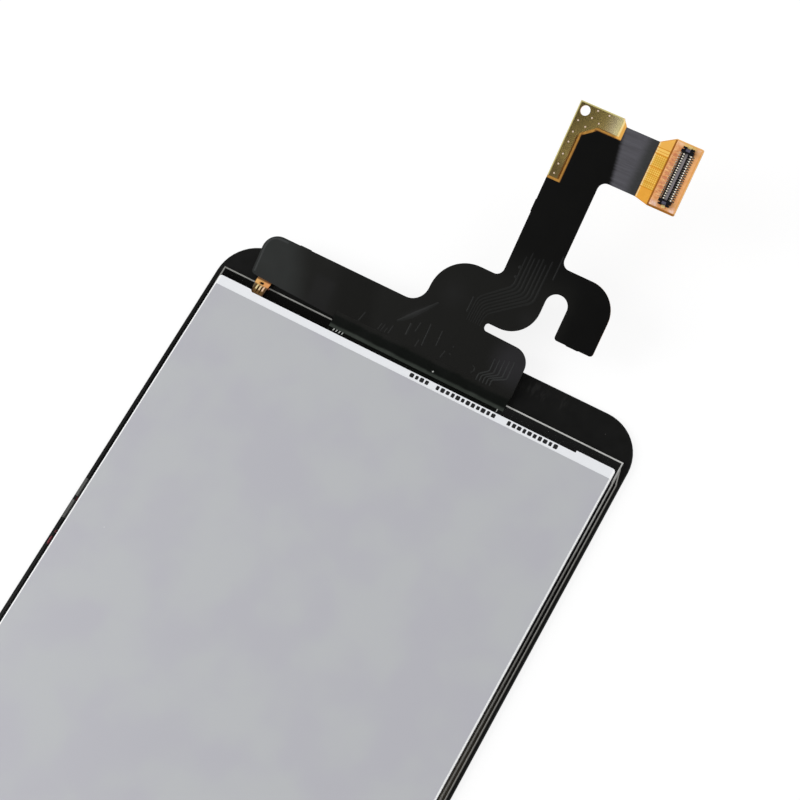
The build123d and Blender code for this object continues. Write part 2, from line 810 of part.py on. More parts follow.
# Hold-down nails: a foot, up the notch and over the top of each end
nail_section = Plane(
    origin=connector_plane.origin, x_dir=connector_plane.y_dir, z_dir=connector_plane.x_dir
)
notch_face = housing_length / 2 - nail_notch
with BuildPart() as connector_nails:
    with BuildSketch(nail_section):
        with BuildLine():
            Polyline(
                (housing_length / 2 + nail_reach, 0),
                (notch_face, 0),
                (notch_face, housing_end_height),
                (notch_face - nail_reach, housing_end_height),
            )
            offset(amount=nail_thickness, side=Side.RIGHT, kind=Kind.INTERSECTION)
        make_face()
        mirror(about=Plane.YZ)
    extrude(amount=nail_width / 2, both=True)

# One STEP file for each piece, named after it
pieces = {
    "cover_glass": cover_glass,
    "border_print": border_print,
    "optical_adhesive": optical_adhesive,
    "front_polarizer": front_polarizer,
    "filter_glass": filter_glass,
    "array_glass": array_glass,
    "rear_polarizer": rear_polarizer,
    "driver_chip": driver_chip,
    "chip_bond_film": chip_bond_film,
    "ledge_resin": ledge_resin,
    "rim_tape": rim_tape,
    "backlight_frame": backlight_frame,
    "light_guide": light_guide,
    "reflector_sheet": reflector_sheet,
    "light_emitters": light_emitters,
    "light_strip": light_strip,
    "main_flex": main_flex,
    "flex_bond_film": flex_bond_film,
    "flex_rear_film": flex_rear_film,
    "flex_front_film": flex_front_film,
    "edge_sealant": edge_sealant,
    "ground_pad": ground_pad,
    "ground_vias": ground_vias,
    "pad_stiffener": pad_stiffener,
    "plug_mask": plug_mask,
    "plug_stiffener": plug_stiffener,
    "connector_housing": connector_housing,
    "connector_contacts": connector_contacts,
    "connector_nails": connector_nails,
}
pieces.update(optic_sheets)
for name, piece in pieces.items():
    piece.part.label = name
    export_step(piece.part, f"parts/{name}.step")
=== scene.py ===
from math import cos, hypot, pi, radians, sin

import bmesh
import bpy
from mathutils import Matrix, Vector


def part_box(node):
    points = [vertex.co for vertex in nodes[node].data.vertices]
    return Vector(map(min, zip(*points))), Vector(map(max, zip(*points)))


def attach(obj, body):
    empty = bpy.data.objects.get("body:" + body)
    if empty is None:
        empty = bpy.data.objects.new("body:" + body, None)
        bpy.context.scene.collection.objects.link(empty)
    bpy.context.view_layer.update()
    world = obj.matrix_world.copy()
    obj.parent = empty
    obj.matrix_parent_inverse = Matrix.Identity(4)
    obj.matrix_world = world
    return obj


# A phone display assembly seen from behind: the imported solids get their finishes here, and the fine
# relief of the film, the solder and the print is added round them. Lengths are in millimetres and are
# turned into metres where a mesh or a lamp is placed.
MM = 0.001

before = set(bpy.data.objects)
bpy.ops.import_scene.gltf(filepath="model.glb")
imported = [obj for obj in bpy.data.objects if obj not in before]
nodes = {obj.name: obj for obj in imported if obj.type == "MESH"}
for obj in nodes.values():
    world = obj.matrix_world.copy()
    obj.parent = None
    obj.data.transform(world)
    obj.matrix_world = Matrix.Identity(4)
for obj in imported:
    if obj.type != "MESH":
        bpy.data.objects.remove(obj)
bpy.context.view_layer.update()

# Sizes that the finishes and the added pieces share with the part
GLASS_HALF_WIDTH = 35.0
GLASS_HALF_LENGTH = 71.0
GLASS_CORNER = 6.6
INK_EDGE = 0.27
INK_REAR = 0.72
ADHESIVE_SIDE = 34.34
ADHESIVE_CUT_START = 62.0
ADHESIVE_CUT_SIZE = (0.5, 2.2)
ADHESIVE_CORNER = (33.9, 64.3)
PANEL_SIDE = 33.9
LEDGE_END = 65.2
LEDGE_REAR = 1.39
SEALANT_START = 64.05
LIP_START = 33.2
REFLECTOR_SIDE = 33.29
FRAME_REAR = 2.09
TAIL_X = -27.0
TAIL_PITCH = 0.54

# The raised circuit: the end of the bend, the slope that it rises at, and where its layers end
BEND_END = 66.003
BEND_TOP = 1.313
RISE = radians(23)
FILM = 0.04
MASK = 0.03
FILM_END = 19.05
FLARE_END = 21.15
RUN_LEFT = 6.2
WING_LEFT = -29.7
ARM_FOOT = 31.5
ARM_MIDDLE = 37.0
ARM_SLANT = 0.19

# The copper pours of the bare amber section, along the circuit: hatched ones, then two plain bands
HATCHED_POURS = ((35.7, 36.42), (36.48, 37.6), (37.66, 38.68), (38.8, 40.62))
BAND_POURS = ((40.76, 41.06), (41.13, 41.5))

# The connector: its centre, and the sizes across it
CONNECTOR = (23.35, 38.7)
CONTACT_COUNT = 20
CONTACT_PITCH = 0.35
CONTACT_REACH = 1.05
HOUSING_FLOOR = 0.14
HOUSING_HALF_LENGTH = 4.35

# Cross-sections of the raised lines: shares of the width and of the height
TRACE_PROFILE = ((-0.5, 0.0), (-0.26, 1.0), (0.26, 1.0), (0.5, 0.0))
FOLD_PROFILE = ((-0.5, 0.0), (-0.3, 0.55), (-0.1, 0.95), (0.1, 0.95), (0.3, 0.55), (0.5, 0.0))

# A round lump from foot to top: shares of the radius and of the height
MOUND_PROFILE = ((1.0, 0.0), (0.86, 0.5), (0.56, 0.86), (0.22, 1.0))
MOUND_SIDES = 14

# A printed dash has its corners cut by this share of its shorter half
DASH_CUT = 0.3


def on_run(x, along, lift=0.0):
    """A point on the raised circuit, in metres, from X, the way past the bend and the height over it."""
    y = BEND_END + along * cos(RISE) - lift * sin(RISE)
    z = BEND_TOP + along * sin(RISE) + lift * cos(RISE)
    return Vector((x, y, z)) * MM


def on_glass(x, y, z):
    """A point given in millimetres on the flat part of the assembly, in metres."""
    return Vector((x, y, z)) * MM


def linear(levels):
    """A colour as it looks on screen, 0 to 255, turned into the linear one that shaders take."""
    shares = [level / 255 for level in levels]
    return tuple(((share + 0.055) / 1.055) ** 2.4 if share > 0.04 else share / 12.92 for share in shares)


class Amount:
    """A shader socket that carries a number. Arithmetic on it adds Math nodes."""

    def __init__(self, shading, socket):
        self.shading = shading
        self.socket = socket

    def __add__(self, other):
        return self.shading.math("ADD", self, other)

    def __radd__(self, other):
        return self.shading.math("ADD", other, self)

    def __sub__(self, other):
        return self.shading.math("SUBTRACT", self, other)

    def __rsub__(self, other):
        return self.shading.math("SUBTRACT", other, self)

    def __mul__(self, other):
        return self.shading.math("MULTIPLY", self, other)

    def __rmul__(self, other):
        return self.shading.math("MULTIPLY", other, self)

    def __abs__(self):
        return self.shading.math("ABSOLUTE", self)


class Shading:
    """The shader nodes of a material or of the world."""

    def __init__(self, owner):
        owner.use_nodes = True
        self.owner = owner
        self.tree = owner.node_tree
        self.tree.nodes.clear()

    def node(self, kind, settings=None, inputs=None):
        """Adds a node: its settings first, then a number, a colour or a link for each socket named."""
        made = self.tree.nodes.new("ShaderNode" + kind)
        for name, value in (settings or {}).items():
            setattr(made, name, value)
        for name, value in (inputs or {}).items():
            self.feed(made.inputs[name], value)
        return made

    def feed(self, socket, value):
        """Links a value into the socket, or sets it: a number, or a colour as it looks on screen."""
        if isinstance(value, Amount):
            self.tree.links.new(value.socket, socket)
        elif isinstance(value, bpy.types.NodeSocket):
            self.tree.links.new(value, socket)
        elif socket.type == "RGBA":
            socket.default_value = (*linear(value), 1.0)
        else:
            socket.default_value = value

    def math(self, operation, *values):
        made = self.node("Math", {"operation": operation}, dict(enumerate(values)))
        return Amount(self, made.outputs[0])

    def larger(self, first, second):
        return self.math("MAXIMUM", first, second)

    def distance(self, across, along):
        return self.math("SQRT", across * across + along * along)

    def waves(self, value, pitch):
        """A sine wave from -1 to 1 that repeats at the given pitch."""
        return self.math("SINE", value * (2 * pi / pitch))

    def rising(self, value, edge, soft):
        """0 below the edge, 1 above it, with a smooth step of the given softness between."""
        settings = {"interpolation_type": "SMOOTHSTEP"}
        made = self.node("MapRange", settings, {0: value, 1: edge - soft / 2, 2: edge + soft / 2})
        return Amount(self, made.outputs[0])

    def falling(self, value, edge, soft):
        """1 below the edge and 0 above it."""
        return 1 - self.rising(value, edge, soft)

    def between(self, value, low, high, soft):
        """1 from low to high and 0 outside them."""
        return self.rising(value, low, soft) * self.falling(value, high, soft)

    def spot(self, across, along, center, radius, soft):
        """1 inside a disc and 0 outside it."""
        return self.falling(self.distance(across - center[0], along - center[1]), radius, soft)

    def rays(self, *kinds):
        """1 on rays of the named kinds and 0 on the others."""
        outputs = self.node("LightPath").outputs
        seen = 0.0
        for kind in kinds:
            seen = self.larger(Amount(self, outputs["Is " + kind + " Ray"]), seen)
        return seen


class Finish(Shading):
    """One material, with its nodes' coordinates in millimetres."""

    def __init__(self, name):
        super().__init__(bpy.data.materials.new(name))
        self.coordinates = self.node("TexCoord").outputs["Object"]
        separate = self.node("SeparateXYZ", inputs={"Vector": self.coordinates})
        self.x, self.y, self.z = (Amount(self, output) * (1 / MM) for output in separate.outputs)

    def stretched(self, size, stretch=(1, 1, 1)):
        """The surface's own coordinates, so that one unit is the given size in millimetres."""
        scale = tuple(amount / (size * MM) for amount in stretch)
        made = self.node("VectorMath", {"operation": "MULTIPLY"}, {0: self.coordinates, 1: scale})
        return made.outputs[0]

    def noise(self, size, detail=3.0, stretch=(1, 1, 1)):
        """Soft noise from 0 to 1 whose features have the given size in millimetres."""
        vector = self.stretched(size, stretch)
        made = self.node("TexNoise", None, {"Vector": vector, "Scale": 1.0, "Detail": detail})
        return Amount(self, made.outputs[0])

    def specks(self, size, share):
        """Small round specks, one in each cell of the given size, as wide as their share of it."""
        made = self.node("TexVoronoi", None, {"Vector": self.stretched(size), "Scale": 1.0})
        return self.falling(Amount(self, made.outputs["Distance"]), share, share / 2)

    def mix(self, factor, first, second):
        """A blend of two colours."""
        made = self.node("Mix", {"data_type": "RGBA"}, {0: factor, 6: first, 7: second})
        return made.outputs[2]

    def along_run(self):
        """The distance from the bend, on the raised circuit."""
        return (self.y - BEND_END) * cos(RISE) + (self.z - BEND_TOP) * sin(RISE)

    def over_run(self):
        """The height over the raised circuit's copper."""
        return (self.z - BEND_TOP) * cos(RISE) - (self.y - BEND_END) * sin(RISE)

    def bump(self, height, depth):
        """A normal from a height of 0 to 1, which stands for the given depth in millimetres."""
        return self.node("Bump", None, {"Height": height, "Distance": depth * MM}).outputs[0]

    def surface(self, base, roughness, normal=None, **others):
        """A Principled shader. The other names are its sockets, with underscores for spaces."""
        inputs = {"Base Color": base, "Roughness": roughness}
        if normal is not None:
            inputs["Normal"] = normal
        for name, value in others.items():
            inputs[name.replace("_", " ")] = value
        return self.node("BsdfPrincipled", None, inputs).outputs[0]

    def blend(self, factor, first, second):
        """A Mix Shader between two surfaces."""
        return self.node("MixShader", None, {0: factor, 1: first, 2: second}).outputs[0]

    def done(self, shader):
        self.node("OutputMaterial", None, {"Surface": shader})
        return self.owner

    def coat(self, *values, **others):
        """The material with one Principled shader."""
        return self.done(self.surface(*values, **others))


def cover_glass_finish():
    """Clear glass whose cut edge is inked dark, but for the rim at its front."""
    finish = Finish("cover_glass")
    side = finish.larger(abs(finish.x) - (GLASS_HALF_WIDTH - GLASS_CORNER), 0.0)
    end = finish.larger(abs(finish.y) - (GLASS_HALF_LENGTH - GLASS_CORNER), 0.0)
    inset = GLASS_CORNER - finish.distance(side, end)
    front_rim = 0.42
    edge = finish.falling(inset, INK_EDGE + 0.05, 0.1) * finish.rising(finish.z, front_rim, 0.1)
    smudge = finish.noise(14.0, 4.0)
    clear = finish.surface((247, 249, 248), 0.015 + 0.03 * smudge, IOR=1.45, Transmission_Weight=1.0)
    grain = finish.noise(0.25, 2.0)
    shine = 0.4 + 0.1 * grain
    inked = finish.surface((20, 21, 20), shine, finish.bump(grain, 0.004), Specular_IOR_Level=0.2)
    return finish.done(finish.blend(edge, clear, inked))


def past_corner(finish):
    """How far a point lies past the adhesive's cut corner, in millimetres."""
    width, length = ADHESIVE_CUT_SIZE
    slant = hypot(width, length)
    beside = finish.x - ADHESIVE_CORNER[0]
    beyond = finish.y - ADHESIVE_CORNER[1]
    return beside * (length / slant) + beyond * (width / slant)


def black_print_finish():
    """Screen-printed ink, smooth, with the faint mottle of a dried film, some dust and rubbed places."""
    finish = Finish("black_print")
    mottle = finish.noise(1.6, 5.0)
    dust = finish.specks(2.3, 0.03) * finish.rising(finish.noise(5.0), 0.56, 0.1)
    strokes = finish.rising(finish.noise(0.5, 3.0, (1, 0.25, 1)), 0.56, 0.14)
    rubbed = strokes * finish.between(finish.x, 15.5, 22.5, 1.2) * finish.between(finish.y, 68.4, 70.4, 1.2)
    ink = finish.mix(mottle, (14, 14, 13), (21, 21, 20))
    ink = finish.mix(rubbed * 0.5, ink, (40, 40, 39))
    ink = finish.mix(dust, ink, (84, 84, 82))
    beside = finish.between(finish.x, ADHESIVE_SIDE, ADHESIVE_SIDE + 0.17, 0.06)
    beside = beside * finish.falling(finish.y, ADHESIVE_CUT_START + 0.1, 0.2)
    diagonal = finish.between(past_corner(finish), -0.1, 0.02, 0.06)
    diagonal = diagonal * finish.between(finish.y, ADHESIVE_CUT_START, ADHESIVE_CORNER[1] - 0.1, 0.2)
    base = finish.mix(finish.larger(beside, diagonal), ink, (126, 124, 119))
    shine = 0.34 + 0.14 * mottle
    return finish.coat(base, shine, finish.bump(mottle, 0.002), Specular_IOR_Level=0.3)


def painted_side_reflection(finish):
    """0 by the connector end and 1 far from it, where a grey-brown reflection is painted on the panel's
    right side.
    """
    return finish.falling(finish.y, 25.0, 28.0) * finish.rising(finish.x, 0.0, 1.0)


def adhesive_finish():
    """Clear adhesive whose squeezed-out edge has a milky line on the right side and across its corner."""
    finish = Finish("clear_adhesive")
    right = finish.rising(finish.x, ADHESIVE_SIDE, 0.06)
    corner = finish.rising(past_corner(finish), -0.15, 0.06) * finish.rising(finish.x, 0.0, 1.0)
    corner = corner * finish.rising(finish.y, ADHESIVE_CUT_START - 0.1, 0.1)
    inner = finish.between(finish.x, PANEL_SIDE - 0.06, PANEL_SIDE + 0.08, 0.06)
    inner = inner * finish.falling(finish.y, LEDGE_END - 0.1, 0.1)
    fading = 0.45 + 0.55 * finish.rising(finish.y, 50.0, 12.0)
    edge = finish.larger(finish.larger(right, corner), inner * fading)
    ripple = finish.noise(0.8)
    # Painted reflection: the clear base turns grey-brown on the right side, away from the connector end.
    stain = finish.mix(painted_side_reflection(finish), (15, 15, 14), (80, 74, 64))
    clear = finish.surface(stain, 0.2 + 0.1 * ripple, Alpha=0.55, Specular_IOR_Level=0.2)
    milky = finish.surface(finish.mix(ripple, (150, 149, 144), (196, 195, 190)), 0.45)
    return finish.done(finish.blend(edge, clear, milky))


def polarizer_finish():
    """Dark stretched film, as the switched-off picture looks."""
    finish = Finish("polarizer")
    streak = finish.noise(2.0, 2.0, (1, 0.04, 1))
    base = finish.mix(streak, (34, 35, 39), (40, 41, 46))
    return finish.coat(base, 0.22 + 0.08 * streak)


def panel_glass_finish():
    """Thin panel glass: dark and clean over the ledge, with a bright ground edge; painted shade darkens
    that edge under the light strip's tail, and a painted grey-brown reflection tints the right side.
    """
    finish = Finish("panel_glass")
    grind = finish.noise(0.12)
    chips = finish.rising(finish.noise(0.9, 4.0), 0.4, 0.25)
    end = finish.rising(finish.y, LEDGE_END - 0.21, 0.05)
    right = finish.rising(finish.x, PANEL_SIDE - 0.08, 0.05)
    left = finish.rising(abs(finish.x), PANEL_SIDE - 0.2, 0.05) * finish.rising(finish.y, 62.0, 1.5)
    edge = finish.larger(finish.larger(end, right), left)
    bright_end = finish.rising(finish.x, 15.5, 3.0)
    ground = finish.mix(bright_end, (150, 150, 146), (204, 204, 201))
    # Painted shade: the ground end edge is darkened under the light strip's tail.
    painted_tail_shade = finish.between(finish.x, -27.5, -24.0, 1.5)
    ground = finish.mix(painted_tail_shade * 0.7, ground, (70, 70, 67))
    ground = finish.mix(grind * 0.35, ground, (110, 108, 102))
    # Painted reflection: on the right side, away from the connector end, the ground edge turns darker
    # grey-brown and the clear base grey-brown.
    far = right * finish.falling(finish.y, 50.0, 12.0)
    ground = finish.mix(far * 0.7, ground, (96, 92, 84))
    stain = finish.mix(painted_side_reflection(finish), (16, 16, 15), (92, 86, 76))
    right_ledge = finish.rising(finish.x, 14.5, 2.0) * finish.rising(finish.y, 60.0, 1.0)
    stain = finish.mix(right_ledge, stain, (34, 34, 34))
    clear = finish.surface(stain, 0.06, Alpha=0.55, Specular_IOR_Level=0.3)
    cut = finish.surface(ground, 0.4 + 0.1 * chips)
    return finish.done(finish.blend(edge * (0.75 + 0.25 * chips), clear, cut))


def chip_finish():
    """Polished silicon with a faint grid of dark fields."""
    finish = Finish("driver_chip")
    field = finish.rising(finish.waves(finish.x, 2.992), 0.2, 0.4)
    base = finish.mix(field, (46, 52, 48), (60, 68, 62))
    return finish.coat(base, 0.25, Metallic=0.3)


def bond_film_finish():
    """Conductive film: green-grey, with its fine metal grains."""
    finish = Finish("bond_film")
    grains = finish.specks(0.12, 0.3)
    lanes = finish.rising(finish.waves(finish.x, 0.2027), 0.0, 1.2)
    base = finish.mix(lanes, (22, 31, 25), (38, 47, 41))
    return finish.coat(finish.mix(grains, base, (76, 82, 72)), 0.35)


def resin_finish():
    """Dark cured resin: pale green-grey where it thins out on the ledge, near black past its edge."""
    finish = Finish("resin")
    wave = finish.noise(2.6, 3.0, (1, 2.0, 1))
    fine = finish.noise(0.4)
    thin = finish.falling(finish.y - 0.3 * wave, SEALANT_START + 0.36, 0.4)
    base = finish.mix(thin, (9, 12, 9), finish.mix(wave, (40, 45, 40), (66, 72, 66)))
    base = finish.mix(fine * 0.25, base, (16, 22, 17))
    over_film = finish.rising(finish.y + 0.5 * fine + 0.4 * wave, BEND_END + 0.45, 0.5)
    base = finish.mix(over_film, base, (25, 25, 23))
    shine = 0.24 + 0.15 * wave
    return finish.coat(base, shine, finish.bump(wave, 0.02), Specular_IOR_Level=0.35)


def tape_finish():
    """Thin black foam tape with a faint weave."""
    finish = Finish("black_tape")
    weave = finish.noise(0.3)
    base = finish.mix(weave, (18, 18, 18), (30, 30, 30))
    return finish.coat(base, 0.55 + 0.15 * weave, finish.bump(weave, 0.006))


def moulding_finish():
    """White moulded frame: fine matte, with faint flow clouds and a painted highlight along its lip."""
    finish = Finish("white_moulding")
    grain = finish.noise(0.18)
    tone = finish.noise(9.0, 2.0)
    white = finish.mix(tone, (236, 238, 242), (242, 244, 247))
    # Painted highlight: the lip is brightest white, where its edge catches the light.
    lip_highlight = finish.rising(abs(finish.x), LIP_START, 0.1)
    white = finish.mix(lip_highlight, white, (254, 255, 255))
    return finish.coat(white, 0.42 + 0.12 * grain, finish.bump(grain, 0.004))


def optic_film_finish():
    """Prism film: silver-white with ridges too fine to see one by one."""
    finish = Finish("optic_film")
    ridges = finish.waves(finish.y, 0.1047)
    base = finish.mix(finish.noise(3.0), (215, 217, 222), (228, 230, 235))
    return finish.coat(base, 0.3, finish.bump(ridges, 0.004))


def light_guide_finish():
    """Clear moulded plate with a printed pattern of pale dots."""
    finish = Finish("light_guide")
    dots = finish.specks(0.4, 0.3)
    base = finish.mix(dots, (214, 224, 228), (240, 244, 246))
    return finish.coat(base, 0.12, Transmission_Weight=0.3)


def reflector_finish():
    """Satin silvered sheet, very even, with faint broad clouds, a few specks of dust and fine grain."""
    finish = Finish("reflector")
    cloud = finish.rising(finish.noise(9.0, 2.0), 0.5, 0.3)
    streak = finish.noise(5.0, 3.0, (1, 0.12, 1))
    base = finish.mix(cloud, (190, 190, 197), (192, 194, 197))
    dust = finish.specks(6.5, 0.015) * finish.rising(finish.noise(12.0, 1.0), 0.54, 0.06)
    base = finish.mix(dust * 0.6, base, (222, 222, 224))
    margin = finish.rising(abs(finish.x), REFLECTOR_SIDE, 0.05)
    base = finish.mix(margin, base, (250, 251, 253))
    grain = finish.noise(0.22, 2.0)
    shine = 0.36 + 0.08 * cloud + 0.05 * streak
    return finish.coat(base, shine, finish.bump(grain, 0.0015), Metallic=0.05)


def emitter_finish():
    """White emitter body with a yellow phosphor window on the side that faces the light guide."""
    finish = Finish("emitter")
    emitter_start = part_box("light_emitters")[0].y / MM
    window = finish.falling(finish.y, emitter_start + 0.12, 0.03)
    base = finish.mix(window, (236, 236, 232), (236, 214, 96))
    return finish.coat(base, 0.4 + 0.1 * finish.noise(0.3))


def circuit_finish():
    """The circuit's own polyimide: amber where it is bare, dark where it runs between its cover films, with
    painted shadows and highlights along its steps and cut edges.
    """
    finish = Finish("amber_circuit")
    along = finish.along_run()
    mottle = finish.noise(0.5, 4.0)
    plug = finish.rising(finish.x, FILM_END - 0.15, 0.1)

    # The rim that the film's window leaves bare round the gold pad
    window_foot = 31.35
    window_right = 8.5
    window_low = 39.9
    window_end = 13.95
    beside_pad = finish.rising(along, window_foot, 0.1) * finish.falling(finish.x, window_right, 0.1)
    over_pad = finish.rising(along, window_low, 0.1) * finish.falling(finish.x, window_end, 0.1)
    knee = finish.rising(along - finish.x, 30.0, 0.2) * finish.rising(along, 36.0, 0.2)
    rim = finish.larger(finish.larger(beside_pad, over_pad), knee) * (1 - plug)
    fold = finish.noise(0.35)
    warm = finish.mix(fold, (152, 104, 34), (206, 150, 62))
    warm = finish.mix(finish.rising(finish.x, 13.0, 0.6), warm, (238, 176, 80))
    # Painted shadow: a dark line on the rim where it meets the gold pad's inner borders.
    pad_shadow_right = finish.rising(finish.x, window_right - 0.26, 0.2) * finish.falling(along, 39.0, 0.3)
    pad_shadow_low = finish.falling(along, window_low + 0.4, 0.16) * finish.rising(finish.x, 9.8, 0.3)
    warm = finish.mix(finish.larger(pad_shadow_right, pad_shadow_low) * 0.85, warm, (96, 52, 8))

    dark = finish.mix(mottle, (20, 17, 13), (36, 29, 22))
    copper = finish.mix(mottle, (214, 136, 20), (236, 158, 36))
    base = finish.mix(plug, finish.mix(rim, dark, warm), copper)
    # Painted shadow: a dark brown line where the stiffener's step meets the amber section.
    step = finish.between(finish.x + 0.16 * mottle, FLARE_END - 0.04, FLARE_END + 0.3, 0.06)
    base = finish.mix(step * 0.7, base, (132, 66, 8))
    # Painted highlight: a pale line beside the gold pad's right end.
    pad_end_highlight = finish.between(finish.x, 12.9, 13.4, 0.12) * finish.rising(along, 40.62, 0.1)
    base = finish.mix(pad_end_highlight, base, (254, 226, 152))

    # The plug pad's cut edges: a painted highlight to the right and above, painted shade in brown at its
    # foot
    edge_highlight = finish.larger(finish.rising(finish.x, 25.14, 0.08), finish.rising(along, 43.48, 0.08))
    base = finish.mix(edge_highlight * 0.8, base, (255, 206, 132))
    foot_edge_shade = finish.falling(along, 33.88, 0.1) * finish.rising(finish.x, FLARE_END, 0.1)
    base = finish.mix(foot_edge_shade * 0.75, base, (140, 86, 22))
    normal = finish.bump(mottle, 0.006)
    return finish.coat(base, 0.3 + 0.15 * mottle, normal, Specular_IOR_Level=0.3)


def pour_finish():
    """Copper pours under amber polyimide: plain at both ends, cross-hatched in the middle."""
    finish = Finish("amber_pours")
    along = finish.along_run()
    hatch_pitch = 0.5712
    hatched = finish.between(along, HATCHED_POURS[0][0] - 0.04, HATCHED_POURS[-1][1] + 0.06, 0.05)
    hatch = finish.waves(along + finish.x, hatch_pitch) * finish.waves(along - finish.x, hatch_pitch)
    mottle = finish.noise(0.6, 4.0)
    weave = finish.rising(hatch, 0.0, 0.6) * (0.3 + mottle)
    bands_end = BAND_POURS[-1][1]
    bands = finish.between(along, BAND_POURS[0][0] - 0.02, bands_end + 0.05, 0.03)
    plain = finish.mix(mottle, (234, 160, 44), (250, 180, 66))
    plain = finish.mix(finish.rising(along, bands_end + 0.1, 0.1) * 0.5, plain, (255, 200, 104))
    woven = finish.mix(weave, (230, 158, 30), (255, 214, 106))
    olive = finish.noise(1.1, 2.0, (0.4, 1, 1))
    woven = finish.mix(finish.rising(olive, 0.55, 0.2) * 0.35, woven, (206, 164, 40))
    base = finish.mix(hatched, plain, woven)
    base = finish.mix(bands, base, (255, 204, 100))
    bare = finish.falling(finish.x, FILM_END + 0.22, 0.16)
    base = finish.mix(bare * 0.7, base, (255, 232, 176))
    normal = finish.bump(weave * hatched, 0.006)
    return finish.coat(base, 0.28 + 0.12 * mottle, normal, Specular_IOR_Level=0.3)


def tail_finish():
    """The light strip's tail: peach-orange film, pale solder fingers, brown flux toward the frame, and a
    painted shadow over its top under the wing.
    """
    finish = Finish("strip_circuit")
    mottle = finish.noise(0.3)
    right = finish.rising(finish.x, TAIL_X, 0.8)
    film = finish.mix(mottle, (244, 176, 96), (252, 198, 118))
    film = finish.mix(right * 0.7, film, (240, 158, 96))
    # Painted shadow: the tail's top is darkened where the wing hangs over it.
    top = finish.rising(finish.y, LEDGE_END + 0.55, 0.35)
    film = finish.mix(top * 0.8, film, (74, 34, 26))
    narrow = 0.6
    ring_center = (TAIL_X * narrow - 0.17, LEDGE_END + 0.13)
    ring = finish.spot(finish.x * narrow, finish.y, ring_center, 0.22, 0.26)
    film = finish.mix(ring * 0.9, film, (116, 52, 4))
    low = finish.falling(finish.y, LEDGE_END - 0.25, 0.4)
    flux = finish.mix(mottle, (84, 58, 20), (122, 88, 38))
    base = finish.mix(low, film, flux)
    fingers = finish.rising(finish.waves(finish.x - (TAIL_X - TAIL_PITCH / 4), TAIL_PITCH), 0.2, 1.1)
    fingers = fingers * finish.between(finish.y, 64.1, 64.9, 0.3)
    pads = finish.mix(right, (238, 220, 164), (246, 208, 174))
    base = finish.mix(fingers, base, pads)
    sides = 1 - finish.between(finish.x, TAIL_X - 0.86, TAIL_X + 0.88, 0.2)
    base = finish.mix(sides * low * 0.85, base, (48, 24, 12))
    return finish.coat(base, 0.36, finish.bump(mottle, 0.008))


def painted_film_sheen(finish, along, scuff):
    """The black film's tones, painted as the sheen it shows: grey tip and tab, paler patches on the dome,
    the lobe and a fold, a darker middle, near black up the stem and hook.
    """
    below_stem = finish.falling(along, 18.0, 7.0)
    before_hook = finish.falling(finish.x, 17.5, 3.5)
    tone = finish.mix(below_stem * before_hook, (9, 9, 8), (26, 26, 24))
    dark_middle = finish.between(finish.x + 0.3 * along, -15.0, -8.5, 3.0)
    tone = finish.mix(dark_middle * 0.6, tone, (14, 14, 11))
    tip = finish.falling(finish.x + 0.4 * along, -21.3, 5.0)
    tone = finish.mix(tip, tone, (46, 48, 47))
    peak = finish.between(finish.x, -19.8, -16.4, 1.2) * finish.falling(along, 4.4, 1.2)
    tone = finish.mix(peak * 0.3, tone, (38, 38, 40))
    tab = finish.spot(finish.x, along, (13.6, 5.2), 3.0, 4.0)
    tone = finish.mix(tab * 0.8, tone, (48, 47, 50))
    dome = finish.spot(finish.x, along, (0.8, 10.6), 1.2, 4.5)
    tone = finish.mix(dome * 0.35, tone, (42, 42, 43))
    lobe = finish.spot(finish.x, along, (12.6, 11.6), 1.0, 3.0)
    tone = finish.mix(lobe * 0.5, tone, (38, 38, 38))
    fold = finish.spot(finish.x - along, along * 0.6, (-9.0, 3.4), 0.5, 1.8)
    tone = finish.mix(fold * 0.45, tone, (44, 44, 45))
    return finish.mix(scuff * 0.3, tone, (12, 12, 10))


def black_film_finish(name, painted_sheen=0.0):
    """Black cover film: dull over the wing and the stem, glossy and streaked over the arm's traces, with
    its sheen and the arm's violet-grey reflection painted into its colour.
    """
    finish = Finish(name)
    along = finish.along_run()
    scuff = finish.noise(2.6, 5.0)
    fine = finish.noise(0.2, 2.0)
    # Painted sheen: raised lines and the rim get a lighter grey, by the share passed in.
    tone = finish.mix(painted_sheen, painted_film_sheen(finish, along, scuff), (62, 64, 64))
    normal = finish.bump(scuff * 0.7 + fine * 0.1, 0.02)
    dull = finish.surface(tone, 0.38 + 0.14 * scuff, normal, Specular_IOR_Level=0.1)
    streaks = finish.noise(0.28, 4.0, (0.06, 1, 1))
    lanes = finish.rising(streaks, 0.5, 0.5)
    # Painted reflection: the arm's glossy film takes a violet-grey colour for the light it mirrors, darker
    # to the right where that reflection ends.
    violet = finish.mix(lanes, (76, 75, 80), (88, 87, 93))
    end = finish.rising(finish.x + 1.2 * streaks, 18.3, 1.6)
    violet = finish.mix(end * 0.9, violet, (50, 51, 50))
    glossy = finish.surface(violet, 0.2 + 0.1 * streaks, finish.bump(lanes, 0.006))
    # The glossy part with its painted reflection starts at a slanted line across the arm.
    slant = finish.x + (along - ARM_MIDDLE) * ARM_SLANT
    arm = finish.rising(slant + 0.4 * streaks, 14.9, 0.9) * finish.rising(along, ARM_FOOT, 0.2)
    return finish.done(finish.blend(arm, dull, glossy))


